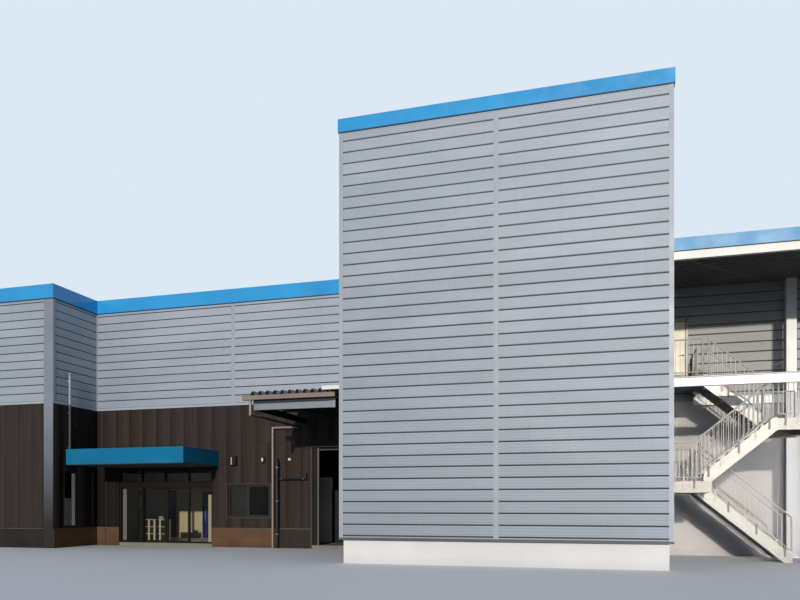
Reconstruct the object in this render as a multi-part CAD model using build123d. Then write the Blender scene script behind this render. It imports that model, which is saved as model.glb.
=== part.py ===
"""Factory building with a clad tower, an entrance front and an open stair gallery.

Millimetres, +Z up, X along the front, Y into the depth. The sizes are set out from the
tower's front left corner on the ground, and DATUM moves the whole model to the bottom
centre of its box.
"""
import math
import os

from build123d import *

# Walls, floors and copings
WALL = 200
CAP_OVERHANG = 50
CAP_SHEET = 50
GROUND_FLOOR = 120
UPPER_FLOOR = 5200
UPPER_SLAB = 150
ROOF_THICKNESS = 160

# Tower
TOWER_WIDTH = 8430
TOWER_DEPTH = 5955
TOWER_TOP = 11960
TOWER_CAP = 355
PLINTH_TOP = 660
PLINTH_INSET = 75
TOWER_ROOF_DROP = 500

# Main block and its left wing
FRONT_LENGTH = 12490
WING_WIDTH = 4500
WING_PROJECTION = 2380
RIGHT_LENGTH = 8100
MAIN_DEPTH = 12000
MAIN_TOP = 9650
MAIN_CAP = 460
MAIN_ROOF_DROP = 420
BROWN_TOP = 5340
BASE_TOP = 720
BASE_PROUD = 35

# Entrance screen
ENTRANCE_LEFT = -11460
ENTRANCE_WIDTH = 4100
ENTRANCE_TOP = 2990
ENTRANCE_SETBACK = 30
TRANSOM_SILL = 2500
HEADER_BOTTOM = 2240
HEADER_SHEET = 20
FRAME_DEPTH = 60
FRAME_FACE = 60
MULLION_FACE = 90
GLASS = 10

# Sliding doors
LEAF_DEPTH = 40
LEAF_STILE = 60
MEETING_STILE = 84
LEAF_TOP_RAIL = 60
LEAF_BOTTOM_RAIL = 90
LEAF_GAP = 10
LEAF_FLOOR_GAP = 10
LEAF_OVERLAP = 35
LEAF_ABOVE_HEADER = 90
MEETING_GAP = 6
TRACK_ABOVE_LEAF = 50
TRACK_HEIGHT = 20
TRACK_DEPTH = 35
ROLLER_RADIUS = 20
ROLLER_CLEARANCE = 0.3
HANGER_PLATE = 8
HANGER_WIDTH = 90
HANGER_PLACES = (0.2, 0.8)

# Entrance canopy
CANOPY_LEFT = -11920
CANOPY_WIDTH = 4830
CANOPY_BOTTOM = 3046
CANOPY_HEIGHT = 531
CANOPY_SHEET = 60

# Lobby
LOBBY_LEFT = -13600
LOBBY_RIGHT = -7300
LOBBY_DEPTH = 4200
LOBBY_HEIGHT = 3000
PARTITION = 100
RACK_LEFT = -11160
RACK_WIDTH = 1050
RACK_HEIGHT = 880
RACK_DEPTH = 350
RACK_BOARD = 25
RACK_COLUMNS = 4
RACK_ROWS = 3
RACK_FROM_FRONT = 1100

# Windows
SASH_LEFT = -6750
SASH_WIDTH = 1800
SASH_SILL = 1105
SASH_HEIGHT = 1265
SASH_STILE = 60
SASH_TRACK = 30
SASH_TRACK_GAP = 2
SASH_RUN_GAP = 0.3
SLOT_SILL = 760
SLOT_HEIGHT = 2080
SLOT_WIDTH = 600
SLOT_FROM_FRONT = 560
WINDOW_FRAME = 45
WINDOW_DEPTH = 70
WINDOW_SETBACK = 25

# Loading doorway
LOADING_LEFT = -3320
LOADING_RIGHT = -420
LOADING_TOP = 3670
SHUTTER_CASE_HEIGHT = 260
SHUTTER_CASE_DEPTH = 90
SHUTTER_CASE_SIDE = 200
GUIDE_WIDTH = 190
GUIDE_DEPTH = 100
GUIDE_RAIL_WIDTH = 80
GUIDE_RAIL_SETBACK = 30

# Loading canopy
DECK_LEFT = -3813
DECK_PITCH = 250
DECK_TEETH = 11
DECK_HEIGHT = 150
DECK_SHEET = 12
DECK_CREST = 60
DECK_VALLEY = 60
DECK_PROJECTION = 3865
DECK_BOTTOM = 4975
DECK_FALL = 120
RAFTER_DEPTH = 200
RAFTER_WIDTH = 80
RAFTER_TOP = 4735
RAFTER_INSET = 135
RAFTER_OVERRUN = 110
BEAM_GAP = 30
CLEAT_LENGTH = 120
PURLIN_WIDTH = 60
PURLIN_ROWS = 3
PURLIN_SETBACK = 450
STEEL = 10
GUTTER_WIDTH = 140
GUTTER_HEIGHT = 130
GUTTER_OVERRUN = 196
GUTTER_RIGHT_OVERRUN = 130
GUTTER_SHEET = 8
GUTTER_UNDER_DECK = 60
FLASHING_SHEET = 15
FLASHING_HEIGHT = 60
FLASHING_LAP = 305
FLASHING_SKIRT = 55

# Pipes
PIPE_RADIUS = 43
PIPE_SIDES = 12
PIPE_FROM_WALL = 60
PIPE_LEVEL = 4400
PIPE_X = -4822
OUTLET_FROM_END = 250
PIPE_CLIPS = (800, 2400, 4000)
CLIP_WIDTH = 40
VENT_PIPE_Y = 4315
VENT_PIPE_BOTTOM = 3200
VENT_PIPE_TOP = 6430
VENT_CLIPS = (3700, 5000, 6200)
CABLE_PIPE_X = -4632
CABLE_PIPE_RADIUS = 65
CABLE_PIPE_TOP = 3170
CABLE_PIPE_CAP = 105
CABLE_PIPE_CAP_RADIUS = 40
CABLE_CLIPS = (490, 1700, 2925)
CABLE_CLIP_SIDE = 20
BRANCH_RADIUS = 33
BRANCH_LEVEL = 2520
BRANCH_END = -3500
BRANCH_RISE = 210

# Gallery
GALLERY_PROJECTION = 4100
GALLERY_ROOF_TOP = 8560
GALLERY_SOFFIT = 8400
FASCIA_HEIGHT = 330
FASCIA_SHEET = 50
ROOF_BEAM_HEIGHT = 190
ROOF_BEAM_TOP = 8200
EDGE_BEAM_TOP = 4930
EDGE_BEAM_HEIGHT = 250
BEAM_WIDTH = 125
FLANGE = 14
COLUMN = 280
COLUMN_FROM_TOWER = 3820
GALLERY_FLOOR_DEPTH = 380
UPPER_DOOR_TOP = 7410
UPPER_DOOR_SIDE = 20
UPPER_DOOR_WIDTH = 930
UPPER_DOOR_FRAME = 60
UPPER_DOOR_LEAF = 45

# Stair
RISER = 200
GOING = 240
LOWER_RISERS = 11
MIDDLE_RISERS = 8
UPPER_RISERS = 7
LANDING_RUN = 940
GALLERY_WALKWAY = 1305
LANE_GAP = 100
LANE_WIDTH = 1200
STRINGER = 12
STRINGER_DEPTH = 300
STRINGER_ABOVE = 20
TREAD = 35
RISER_PLATE = 6
LANDING_DEPTH = 300
LANDING_PLATE = 40

# Railings
RAIL_ABOVE = 1050
BOTTOM_RAIL_ABOVE = 90
RAIL_RADIUS = 21
BOTTOM_RAIL_RADIUS = 17
RAIL_SIDES = 8
RAIL_END_GAP = 40
BAR_SIZE = 14
BAR_SPACING = 120
CLAMP_WIDTH = 50
CLAMP_PLATE = 10
CLAMP_DROP = 170
CLAMP_SPACING = 900

# Wall lights
LANTERN_X = -6430
LANTERN_BOTTOM = 3045
LANTERN_WIDTH = 230
LANTERN_HEIGHT = 350
LANTERN_DEPTH = 120
LANTERN_CHAMFER = 25
BULKHEAD_X = -5250
BULKHEAD_MIDDLE = 3243
BULKHEAD_WIDTH = 190
BULKHEAD_HEIGHT = 270
BULKHEAD_BASE = 60
BULKHEAD_LENS = 40
BULKHEAD_RIM = 25

# Places that follow from the sizes
FRONT = TOWER_DEPTH
INSIDE = FRONT + WALL
BACK = FRONT + MAIN_DEPTH
CORNER = -FRONT_LENGTH
LEFT = CORNER - WING_WIDTH
RIGHT = TOWER_WIDTH + RIGHT_LENGTH
WING_FRONT = FRONT - WING_PROJECTION
TOWER_WALL_TOP = TOWER_TOP - CAP_SHEET
MAIN_WALL_TOP = MAIN_TOP - CAP_SHEET
ENTRANCE_RIGHT = ENTRANCE_LEFT + ENTRANCE_WIDTH
BAY = ENTRANCE_WIDTH / 4
SCREEN = FRONT + ENTRANCE_SETBACK
LEAF_FRONT = SCREEN + FRAME_DEPTH + LEAF_GAP
LEAF_TOP = HEADER_BOTTOM + LEAF_ABOVE_HEADER
TRACK_TOP = LEAF_TOP + TRACK_ABOVE_LEAF + TRACK_HEIGHT
GALLERY_FRONT = FRONT - GALLERY_PROJECTION
COLUMN_LINE = TOWER_WIDTH + COLUMN_FROM_TOWER
STAIR_TURN = TOWER_WIDTH + LANDING_RUN
REAR_LANE = FRONT - GALLERY_WALKWAY - LANE_WIDTH
FRONT_LANE = REAR_LANE - LANE_GAP - LANE_WIDTH
LOWER_LANDING = LOWER_RISERS * RISER
UPPER_LANDING = LOWER_LANDING + MIDDLE_RISERS * RISER
SLOPE = RISER / GOING
STRINGER_PLUMB = STRINGER_DEPTH * math.hypot(RISER, GOING) / GOING
UPPER_TURN = STAIR_TURN + (MIDDLE_RISERS - 1) * GOING
DATUM = Pos(-(LEFT + RIGHT) / 2, -BACK / 2, 0)


def block(x0, y0, z0, x1, y1, z1):
    """A plain slab between two corners."""
    centre = Pos((x0 + x1) / 2, (y0 + y1) / 2, (z0 + z1) / 2)
    return centre * Box(abs(x1 - x0), abs(y1 - y0), abs(z1 - z0))


def join(pieces):
    """One solid from pieces that meet."""
    pieces = list(pieces)
    if len(pieces) == 1:
        return pieces[0]
    return pieces[0].fuse(*pieces[1:]).clean()


def group(pieces):
    """Several solids that share one node."""
    return Compound([solid for piece in pieces for solid in piece.solids()])


def plan(points, low, high):
    """A plan outline raised between two heights."""
    face = Face(Wire.make_polygon([(x, y, low) for x, y in points]))
    return extrude(face, high - low, dir=(0, 0, 1))


def across(points, y0, y1, fall=0):
    """A profile in X and Z, run from y0 to y1 and lifted by fall on its way."""
    face = Face(Wire.make_polygon([(x, y0, z) for x, z in points]))
    run = Vector(0, y1 - y0, fall)
    return extrude(face, run.length, dir=run.normalized())


def along(points, x0, x1):
    """A profile in Y and Z, run from x0 to x1."""
    face = Face(Wire.make_polygon([(x0, y, z) for y, z in points]))
    return extrude(face, x1 - x0, dir=(1, 0, 0))


def band(points, low, high, outer, inner):
    """A band that follows a plan outline, between two offsets from it."""
    face = Face(Wire.make_polygon([(x, y, 0) for x, y in points]))
    outside = offset(face, outer, kind=Kind.INTERSECTION) if outer else face
    inside = offset(face, inner, kind=Kind.INTERSECTION) if inner else face
    ring = Sketch() + outside - inside
    return extrude(Pos(0, 0, low) * ring, high - low, dir=(0, 0, 1))


def coping(points, top, height):
    """A sheet coping: it hangs over the wall's face and turns down behind the wall."""
    skirt = band(points, top - height, top, CAP_OVERHANG, 0)
    lid = band(points, top - CAP_SHEET, top, CAP_OVERHANG, -(WALL + CAP_SHEET))
    lip = band(points, top - height, top, -WALL, -(WALL + CAP_SHEET))
    return join([skirt, lid, lip])


def tower():
    """The clad tower on its low upstand, with a flat roof behind a coping."""
    inset = PLINTH_INSET
    plinth = block(inset, inset, 0, TOWER_WIDTH - inset, FRONT, PLINTH_TOP)
    plinth -= block(WALL, WALL, 0, TOWER_WIDTH - WALL, FRONT, PLINTH_TOP)
    low, high = PLINTH_TOP, TOWER_WALL_TOP
    roof_top = high - TOWER_ROOF_DROP
    outline = [(0, 0), (TOWER_WIDTH, 0), (TOWER_WIDTH, INSIDE), (0, INSIDE)]
    return {
        "tower_plinth": plinth,
        "tower_front_wall": block(0, 0, low, TOWER_WIDTH, WALL, high),
        "tower_left_wall": block(0, WALL, low, WALL, FRONT, high),
        "tower_right_wall": block(TOWER_WIDTH - WALL, WALL, low, TOWER_WIDTH, FRONT, high),
        "tower_back_wall": block(0, FRONT, 0, TOWER_WIDTH, INSIDE, high),
        "tower_roof": block(WALL, WALL, roof_top - ROOF_THICKNESS, TOWER_WIDTH - WALL, FRONT, roof_top),
        "tower_cap": coping(outline, TOWER_TOP, TOWER_CAP),
    }


def main_outline():
    """The main block and its wing in plan."""
    return [
        (LEFT, WING_FRONT), (CORNER, WING_FRONT), (CORNER, FRONT),
        (RIGHT, FRONT), (RIGHT, BACK), (LEFT, BACK),
    ]


def front_walls():
    """The front of the main block: clad above, boarded and split round its openings below."""
    top = MAIN_WALL_TOP
    sash = block(SASH_LEFT, FRONT, SASH_SILL, SASH_LEFT + SASH_WIDTH, INSIDE, SASH_SILL + SASH_HEIGHT)
    slot_front = WING_FRONT + SLOT_FROM_FRONT
    slot = block(CORNER - WALL, slot_front, SLOT_SILL, CORNER, slot_front + SLOT_WIDTH, SLOT_SILL + SLOT_HEIGHT)
    return {
        "front_upper_wall": block(CORNER, FRONT, BROWN_TOP, 0, INSIDE, top),
        "front_left_wall": block(CORNER, FRONT, 0, ENTRANCE_LEFT, INSIDE, BROWN_TOP),
        "front_middle_wall": block(ENTRANCE_RIGHT, FRONT, 0, LOADING_LEFT, INSIDE, BROWN_TOP) - sash,
        "over_entrance_wall": block(ENTRANCE_LEFT, FRONT, ENTRANCE_TOP, ENTRANCE_RIGHT, INSIDE, BROWN_TOP),
        "over_loading_wall": block(LOADING_LEFT, FRONT, LOADING_TOP, LOADING_RIGHT, INSIDE, BROWN_TOP),
        "loading_jamb_wall": block(LOADING_RIGHT, FRONT, 0, 0, INSIDE, BROWN_TOP),
        "wing_front_wall": block(LEFT, WING_FRONT, 0, CORNER, WING_FRONT + WALL, top),
        "wing_side_upper_wall": block(CORNER - WALL, WING_FRONT + WALL, BROWN_TOP, CORNER, INSIDE, top),
        "wing_side_lower_wall": block(CORNER - WALL, WING_FRONT + WALL, 0, CORNER, INSIDE, BROWN_TOP) - slot,
    }


def other_walls():
    """The end walls, the back wall and the walls behind the gallery."""
    top = MAIN_WALL_TOP
    soffit = UPPER_FLOOR - GALLERY_FLOOR_DEPTH
    door_left = TOWER_WIDTH + UPPER_DOOR_SIDE
    doorway = block(door_left, FRONT, UPPER_FLOOR, door_left + UPPER_DOOR_WIDTH, INSIDE, UPPER_DOOR_TOP)
    return {
        "left_end_wall": block(LEFT, WING_FRONT + WALL, 0, LEFT + WALL, BACK - WALL, top),
        "back_wall": block(LEFT, BACK - WALL, 0, RIGHT, BACK, top),
        "right_end_wall": block(RIGHT - WALL, INSIDE, 0, RIGHT, BACK - WALL, top),
        "gallery_upper_wall": block(TOWER_WIDTH, FRONT, soffit, RIGHT, INSIDE, top) - doorway,
        "gallery_lower_wall": block(TOWER_WIDTH, FRONT, 0, RIGHT, INSIDE, soffit),
    }


def base_course():
    """The smooth base course that stands proud of the boarded walls."""
    proud = BASE_PROUD
    return {
        "base_course": group([
            block(CORNER, FRONT - proud, 0, ENTRANCE_LEFT, FRONT, BASE_TOP),
            block(ENTRANCE_RIGHT, FRONT - proud, 0, LOADING_LEFT, FRONT, BASE_TOP),
            block(LEFT - proud, WING_FRONT, 0, LEFT, BACK, BASE_TOP),
            block(LEFT, BACK, 0, RIGHT, BACK + proud, BASE_TOP),
            block(RIGHT, FRONT, 0, RIGHT + proud, BACK, BASE_TOP),
        ]),
        "wing_base_course": block(CORNER, WING_FRONT, 0, CORNER + proud, FRONT - proud, BASE_TOP),
    }


def roofs_and_floors():
    """The main roof with its fall, its coping, and the two floors."""
    roof_top = MAIN_WALL_TOP - MAIN_ROOF_DROP
    inner = [
        (LEFT + WALL, WING_FRONT + WALL), (CORNER - WALL, WING_FRONT + WALL), (CORNER - WALL, INSIDE),
        (RIGHT - WALL, INSIDE), (RIGHT - WALL, BACK - WALL), (LEFT + WALL, BACK - WALL),
    ]
    cap = coping(main_outline(), MAIN_TOP, MAIN_CAP)
    cap -= block(0, FRONT - WALL, 0, TOWER_WIDTH, INSIDE + CAP_OVERHANG, TOWER_TOP)
    thresholds = [
        block(ENTRANCE_LEFT, FRONT, 0, ENTRANCE_RIGHT, INSIDE, GROUND_FLOOR),
        block(LOADING_LEFT, FRONT, 0, LOADING_RIGHT, INSIDE, GROUND_FLOOR),
    ]
    upper = [(RIGHT - WALL, INSIDE), (RIGHT - WALL, BACK - WALL), (CORNER, BACK - WALL), (CORNER, INSIDE)]
    return {
        "main_roof": plan(inner, roof_top - ROOF_THICKNESS, roof_top),
        "main_cap": cap,
        "ground_floor": join([plan(inner, 0, GROUND_FLOOR)] + thresholds),
        "upper_floor": plan(upper, UPPER_FLOOR - UPPER_SLAB, UPPER_FLOOR),
    }


def entrance_screen():
    """The fixed frame of the entrance: four bays, a header with the door track, and lights."""
    y0, y1 = SCREEN, SCREEN + FRAME_DEPTH
    lines = [ENTRANCE_LEFT + BAY * i for i in range(5)]
    half = MULLION_FACE / 2
    bars = [
        block(ENTRANCE_LEFT, y0, GROUND_FLOOR, ENTRANCE_LEFT + FRAME_FACE, y1, ENTRANCE_TOP),
        block(ENTRANCE_RIGHT - FRAME_FACE, y0, GROUND_FLOOR, ENTRANCE_RIGHT, y1, ENTRANCE_TOP),
        block(ENTRANCE_LEFT, y0, ENTRANCE_TOP - FRAME_FACE, ENTRANCE_RIGHT, y1, ENTRANCE_TOP),
        block(ENTRANCE_LEFT, y0, HEADER_BOTTOM, ENTRANCE_RIGHT, y1, TRANSOM_SILL),
        block(ENTRANCE_LEFT, y1, TRANSOM_SILL - HEADER_SHEET, ENTRANCE_RIGHT, INSIDE, TRANSOM_SILL),
        block(ENTRANCE_LEFT + FRAME_FACE, y1, TRACK_TOP - TRACK_HEIGHT, ENTRANCE_RIGHT - FRAME_FACE,
              y1 + TRACK_DEPTH, TRACK_TOP),
        block(lines[2] - half, y0, TRANSOM_SILL, lines[2] + half, y1, ENTRANCE_TOP),
    ]
    for line in (lines[1], lines[3]):
        bars.append(block(line - half, y0, GROUND_FLOOR, line + half, y1, ENTRANCE_TOP))
    for left, right in ((lines[0], lines[1]), (lines[3], lines[4])):
        bars.append(block(left, y0, GROUND_FLOOR, right, y1, GROUND_FLOOR + FRAME_FACE))
    return join(bars)


def entrance_panes():
    """The fixed glass of the entrance: two sidelights and four lights above the header."""
    middle = SCREEN + FRAME_DEPTH / 2
    y0, y1 = middle - GLASS / 2, middle + GLASS / 2
    half = MULLION_FACE / 2
    panes = []
    for i in range(4):
        left = ENTRANCE_LEFT + BAY * i + (FRAME_FACE if i == 0 else half)
        right = ENTRANCE_LEFT + BAY * (i + 1) - (FRAME_FACE if i == 3 else half)
        panes.append(block(left, y0, TRANSOM_SILL, right, y1, ENTRANCE_TOP - FRAME_FACE))
        if i in (0, 3):
            panes.append(block(left, y0, GROUND_FLOOR + FRAME_FACE, right, y1, HEADER_BOTTOM))
    return panes


def sliding_leaf(side):
    """One sliding leaf: side is -1 for the left leaf and 1 for the right one."""
    middle = ENTRANCE_LEFT + ENTRANCE_WIDTH / 2
    inner = middle + side * MEETING_GAP / 2
    outer = middle + side * (BAY - MULLION_FACE / 2 + LEAF_OVERLAP)
    y0, y1 = LEAF_FRONT, LEAF_FRONT + LEAF_DEPTH
    low, high = GROUND_FLOOR + LEAF_FLOOR_GAP, LEAF_TOP
    frame = block(inner, y0, low, outer, y1, high)
    hole = block(inner + side * MEETING_STILE, y0, low + LEAF_BOTTOM_RAIL,
                 outer - side * LEAF_STILE, y1, high - LEAF_TOP_RAIL)
    pieces = [frame - hole]
    width = abs(outer - inner)
    for share in HANGER_PLACES:
        x = inner + side * width * share
        wheel_z = TRACK_TOP + ROLLER_CLEARANCE + ROLLER_RADIUS
        plate_y = SCREEN + FRAME_DEPTH + TRACK_DEPTH + LEAF_GAP / 2
        pieces.append(block(x - HANGER_WIDTH / 2, plate_y, high - LEAF_TOP_RAIL,
                            x + HANGER_WIDTH / 2, plate_y + HANGER_PLATE, wheel_z + ROLLER_RADIUS))
        wheel_y = plate_y - TRACK_DEPTH
        wheel = Pos(x, (wheel_y + plate_y) / 2, wheel_z) * Rot(90, 0, 0) * Cylinder(ROLLER_RADIUS, TRACK_DEPTH)
        pieces.append(wheel)
    middle_y = (y0 + y1) / 2
    pane = block(inner + side * MEETING_STILE, middle_y - GLASS / 2, low + LEAF_BOTTOM_RAIL,
                 outer - side * LEAF_STILE, middle_y + GLASS / 2, high - LEAF_TOP_RAIL)
    return join(pieces), pane


def lobby():
    """What shows through the entrance glass: the lobby's walls, its screens and the rack."""
    back = FRONT + LOBBY_DEPTH
    walls = join([
        block(LOBBY_LEFT - PARTITION, INSIDE, GROUND_FLOOR, LOBBY_LEFT, back, LOBBY_HEIGHT),
        block(LOBBY_LEFT - PARTITION, back, GROUND_FLOOR, LOBBY_RIGHT + PARTITION, back + PARTITION, LOBBY_HEIGHT),
        block(LOBBY_RIGHT, INSIDE, GROUND_FLOOR, LOBBY_RIGHT + PARTITION, back, LOBBY_HEIGHT),
    ])
    rack_y = FRONT + RACK_FROM_FRONT
    rack = block(RACK_LEFT, rack_y, GROUND_FLOOR, RACK_LEFT + RACK_WIDTH, rack_y + RACK_DEPTH,
                 GROUND_FLOOR + RACK_HEIGHT)
    cell_x = (RACK_WIDTH - RACK_BOARD) / RACK_COLUMNS
    cell_z = (RACK_HEIGHT - RACK_BOARD) / RACK_ROWS
    for column in range(RACK_COLUMNS):
        for row in range(RACK_ROWS):
            x = RACK_LEFT + RACK_BOARD + column * cell_x
            z = GROUND_FLOOR + RACK_BOARD + row * cell_z
            rack -= block(x, rack_y, z, x + cell_x - RACK_BOARD, rack_y + RACK_DEPTH - RACK_BOARD,
                          z + cell_z - RACK_BOARD)
    return {"lobby_walls": walls, "shoe_rack": rack}


def slot_window():
    """The tall slot window's frame and its pane in its own plane, from its lower left corner."""
    bar = WINDOW_FRAME
    frame = block(0, 0, 0, SLOT_WIDTH, WINDOW_DEPTH, SLOT_HEIGHT)
    frame -= block(bar, 0, bar, SLOT_WIDTH - bar, WINDOW_DEPTH, SLOT_HEIGHT - bar)
    pane = block(bar, (WINDOW_DEPTH - GLASS) / 2, bar, SLOT_WIDTH - bar, (WINDOW_DEPTH + GLASS) / 2,
                 SLOT_HEIGHT - bar)
    return frame, pane


def sash_leaf(x0, x1, y0):
    """One sliding leaf of the sash and its pane, in the window's plane."""
    low, high = WINDOW_FRAME + SASH_RUN_GAP, SASH_HEIGHT - WINDOW_FRAME - SASH_RUN_GAP
    y1 = y0 + SASH_TRACK
    middle = (y0 + y1) / 2
    leaf = block(x0, y0, low, x1, y1, high)
    leaf -= block(x0 + SASH_STILE, y0, low + SASH_STILE, x1 - SASH_STILE, y1, high - SASH_STILE)
    pane = block(x0 + SASH_STILE, middle - GLASS / 2, low + SASH_STILE,
                 x1 - SASH_STILE, middle + GLASS / 2, high - SASH_STILE)
    return leaf, pane


def sash():
    """The sliding window beside the entrance: a frame with two leaves in two tracks."""
    bar = WINDOW_FRAME
    frame = block(0, 0, 0, SASH_WIDTH, WINDOW_DEPTH, SASH_HEIGHT)
    frame -= block(bar, 0, bar, SASH_WIDTH - bar, WINDOW_DEPTH, SASH_HEIGHT - bar)
    inner_track = SASH_TRACK + 2 * SASH_TRACK_GAP
    left, right = bar + SASH_RUN_GAP, SASH_WIDTH - bar - SASH_RUN_GAP
    half = SASH_STILE / 2
    back_leaf, back_pane = sash_leaf(left, SASH_WIDTH / 2 + half, inner_track)
    front_leaf, front_pane = sash_leaf(SASH_WIDTH / 2 - half, right, SASH_TRACK_GAP)
    return [frame, back_leaf, front_leaf], [back_pane, front_pane]


def windows():
    """The sliding sash beside the entrance and the tall slot in the wing's side."""
    sash_place = Pos(SASH_LEFT, FRONT + WINDOW_SETBACK, SASH_SILL)
    slot_place = Pos(CORNER - WINDOW_SETBACK, WING_FRONT + SLOT_FROM_FRONT, SLOT_SILL) * Rot(0, 0, 90)
    sash_frames, sash_panes = sash()
    slot_frame, slot_pane = slot_window()
    panes = [sash_place * pane for pane in sash_panes] + [slot_place * slot_pane]
    frames = [sash_place * frame for frame in sash_frames] + [slot_place * slot_frame]
    return group(frames), panes


def entrance_canopy():
    """The sheet-clad canopy box over the entrance, open in its middle above the soffit."""
    box = block(CANOPY_LEFT, WING_FRONT, CANOPY_BOTTOM, CANOPY_LEFT + CANOPY_WIDTH, FRONT,
                CANOPY_BOTTOM + CANOPY_HEIGHT)
    tray = block(CANOPY_LEFT + CANOPY_SHEET, WING_FRONT + CANOPY_SHEET, CANOPY_BOTTOM + CANOPY_HEIGHT - CANOPY_SHEET,
                 CANOPY_LEFT + CANOPY_WIDTH - CANOPY_SHEET, FRONT, CANOPY_BOTTOM + CANOPY_HEIGHT)
    return box - tray


def deck_profile(x0, z0):
    """The folded roof plate's cross-section: flat valleys and narrow crests."""
    web = (DECK_PITCH - DECK_CREST - DECK_VALLEY) / 2
    upper = []
    for i in range(DECK_TEETH):
        x = x0 + i * DECK_PITCH
        upper.append((x, z0))
        upper.append((x + DECK_VALLEY / 2, z0))
        upper.append((x + DECK_VALLEY / 2 + web, z0 + DECK_HEIGHT - DECK_SHEET))
        upper.append((x + DECK_VALLEY / 2 + web + DECK_CREST, z0 + DECK_HEIGHT - DECK_SHEET))
        upper.append((x + DECK_PITCH - DECK_VALLEY / 2, z0))
    upper.append((x0 + DECK_TEETH * DECK_PITCH, z0))
    lower = [(x, z + DECK_SHEET) for x, z in reversed(upper)]
    points = []
    for point in upper + lower:
        if not points or point != points[-1]:
            points.append(point)
    return points


def loading_canopy():
    """The folded-plate canopy over the loading doorway, its steel, gutter and flashing."""
    front = FRONT - DECK_PROJECTION
    right = DECK_LEFT + DECK_TEETH * DECK_PITCH
    deck = across(deck_profile(DECK_LEFT, DECK_BOTTOM), front, FRONT, DECK_FALL)
    gutter_back = front + GUTTER_UNDER_DECK
    gutter_front = gutter_back - GUTTER_WIDTH
    gutter_left, gutter_right = DECK_LEFT - GUTTER_OVERRUN, right + GUTTER_RIGHT_OVERRUN
    low, high = DECK_BOTTOM - GUTTER_HEIGHT, DECK_BOTTOM
    gutter = block(gutter_left, gutter_front, low, gutter_right, gutter_back, high)
    gutter -= block(gutter_left + GUTTER_SHEET, gutter_front + GUTTER_SHEET, low + GUTTER_SHEET,
                    gutter_right - GUTTER_SHEET, gutter_back - GUTTER_SHEET, high)
    crest = DECK_BOTTOM + DECK_HEIGHT
    lap = right - FLASHING_LAP
    cover_top = crest + FLASHING_HEIGHT
    cover = across([(lap, crest), (0, crest), (0, cover_top), (lap, cover_top)], front, FRONT, DECK_FALL)
    skirt = block(lap, front - FLASHING_SHEET, crest - FLASHING_SKIRT, 0, front, cover_top)
    return {
        "loading_deck": deck,
        "loading_steel": loading_steel(front, gutter_back + STEEL, right + RAFTER_OVERRUN),
        "loading_gutter": gutter,
        "loading_flashing": join([cover, skirt]),
    }


def loading_steel(deck_front, front, right):
    """The canopy's steel: a front channel between two rafters, a cleat, and the purlins."""
    low = RAFTER_TOP - RAFTER_DEPTH
    left = DECK_LEFT + RAFTER_INSET
    right_rafter = right - RAFTER_WIDTH
    beam_end = right_rafter - BEAM_GAP
    steel = [
        channel_across(front, left, beam_end, low, RAFTER_TOP),
        block(left, front, low, left + RAFTER_WIDTH, FRONT, RAFTER_TOP),
        block(right_rafter, front, low, right, FRONT, RAFTER_TOP),
        block(beam_end - CLEAT_LENGTH, front + STEEL, low + STEEL, right_rafter, front + 2 * STEEL,
              RAFTER_TOP - STEEL),
    ]
    rise = DECK_FALL / DECK_PROJECTION
    span = FRONT - PURLIN_WIDTH - front - PURLIN_SETBACK
    for i in range(PURLIN_ROWS):
        y = front + PURLIN_SETBACK + i * span / (PURLIN_ROWS - 1)
        under = DECK_BOTTOM + (y - deck_front) * rise
        profile = [(y, RAFTER_TOP), (y + PURLIN_WIDTH, RAFTER_TOP),
                   (y + PURLIN_WIDTH, under + PURLIN_WIDTH * rise), (y, under)]
        steel.append(along(profile, left, right))
    return join(steel)


def channel_across(y0, x0, x1, low, high):
    """A channel along X with its web to the front."""
    y1 = y0 + RAFTER_WIDTH
    profile = [(y0, low), (y1, low), (y1, low + STEEL), (y0 + STEEL, low + STEEL),
               (y0 + STEEL, high - STEEL), (y1, high - STEEL), (y1, high), (y0, high)]
    return along(profile, x0, x1)


def shutter_frame():
    """The shutter's casing over the loading doorway and its two guides."""
    low = LOADING_TOP
    case = block(LOADING_LEFT - SHUTTER_CASE_SIDE, FRONT - SHUTTER_CASE_DEPTH, low, 0, FRONT,
                 low + SHUTTER_CASE_HEIGHT)
    guides = []
    for jamb, way in ((LOADING_LEFT, 1), (LOADING_RIGHT, -1)):
        inner = jamb + way * GUIDE_WIDTH
        box = block(jamb, FRONT, GROUND_FLOOR, inner, FRONT + GUIDE_DEPTH, low)
        rail = block(inner, FRONT + GUIDE_RAIL_SETBACK, GROUND_FLOOR, inner + way * GUIDE_RAIL_WIDTH,
                     FRONT + GUIDE_DEPTH, low)
        guides.append(join([box, rail]))
    return group([case] + guides)


def tube(points, radius, sides=PIPE_SIDES):
    """A pipe along straight runs with mitred corners, many-sided to keep its faces flat."""
    path = Polyline(*points) if len(points) > 2 else Line(*points)
    section = Plane(origin=path @ 0, z_dir=path % 0) * RegularPolygon(radius, sides)
    return sweep(section, path=path, transition=Transition.RIGHT)


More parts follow.
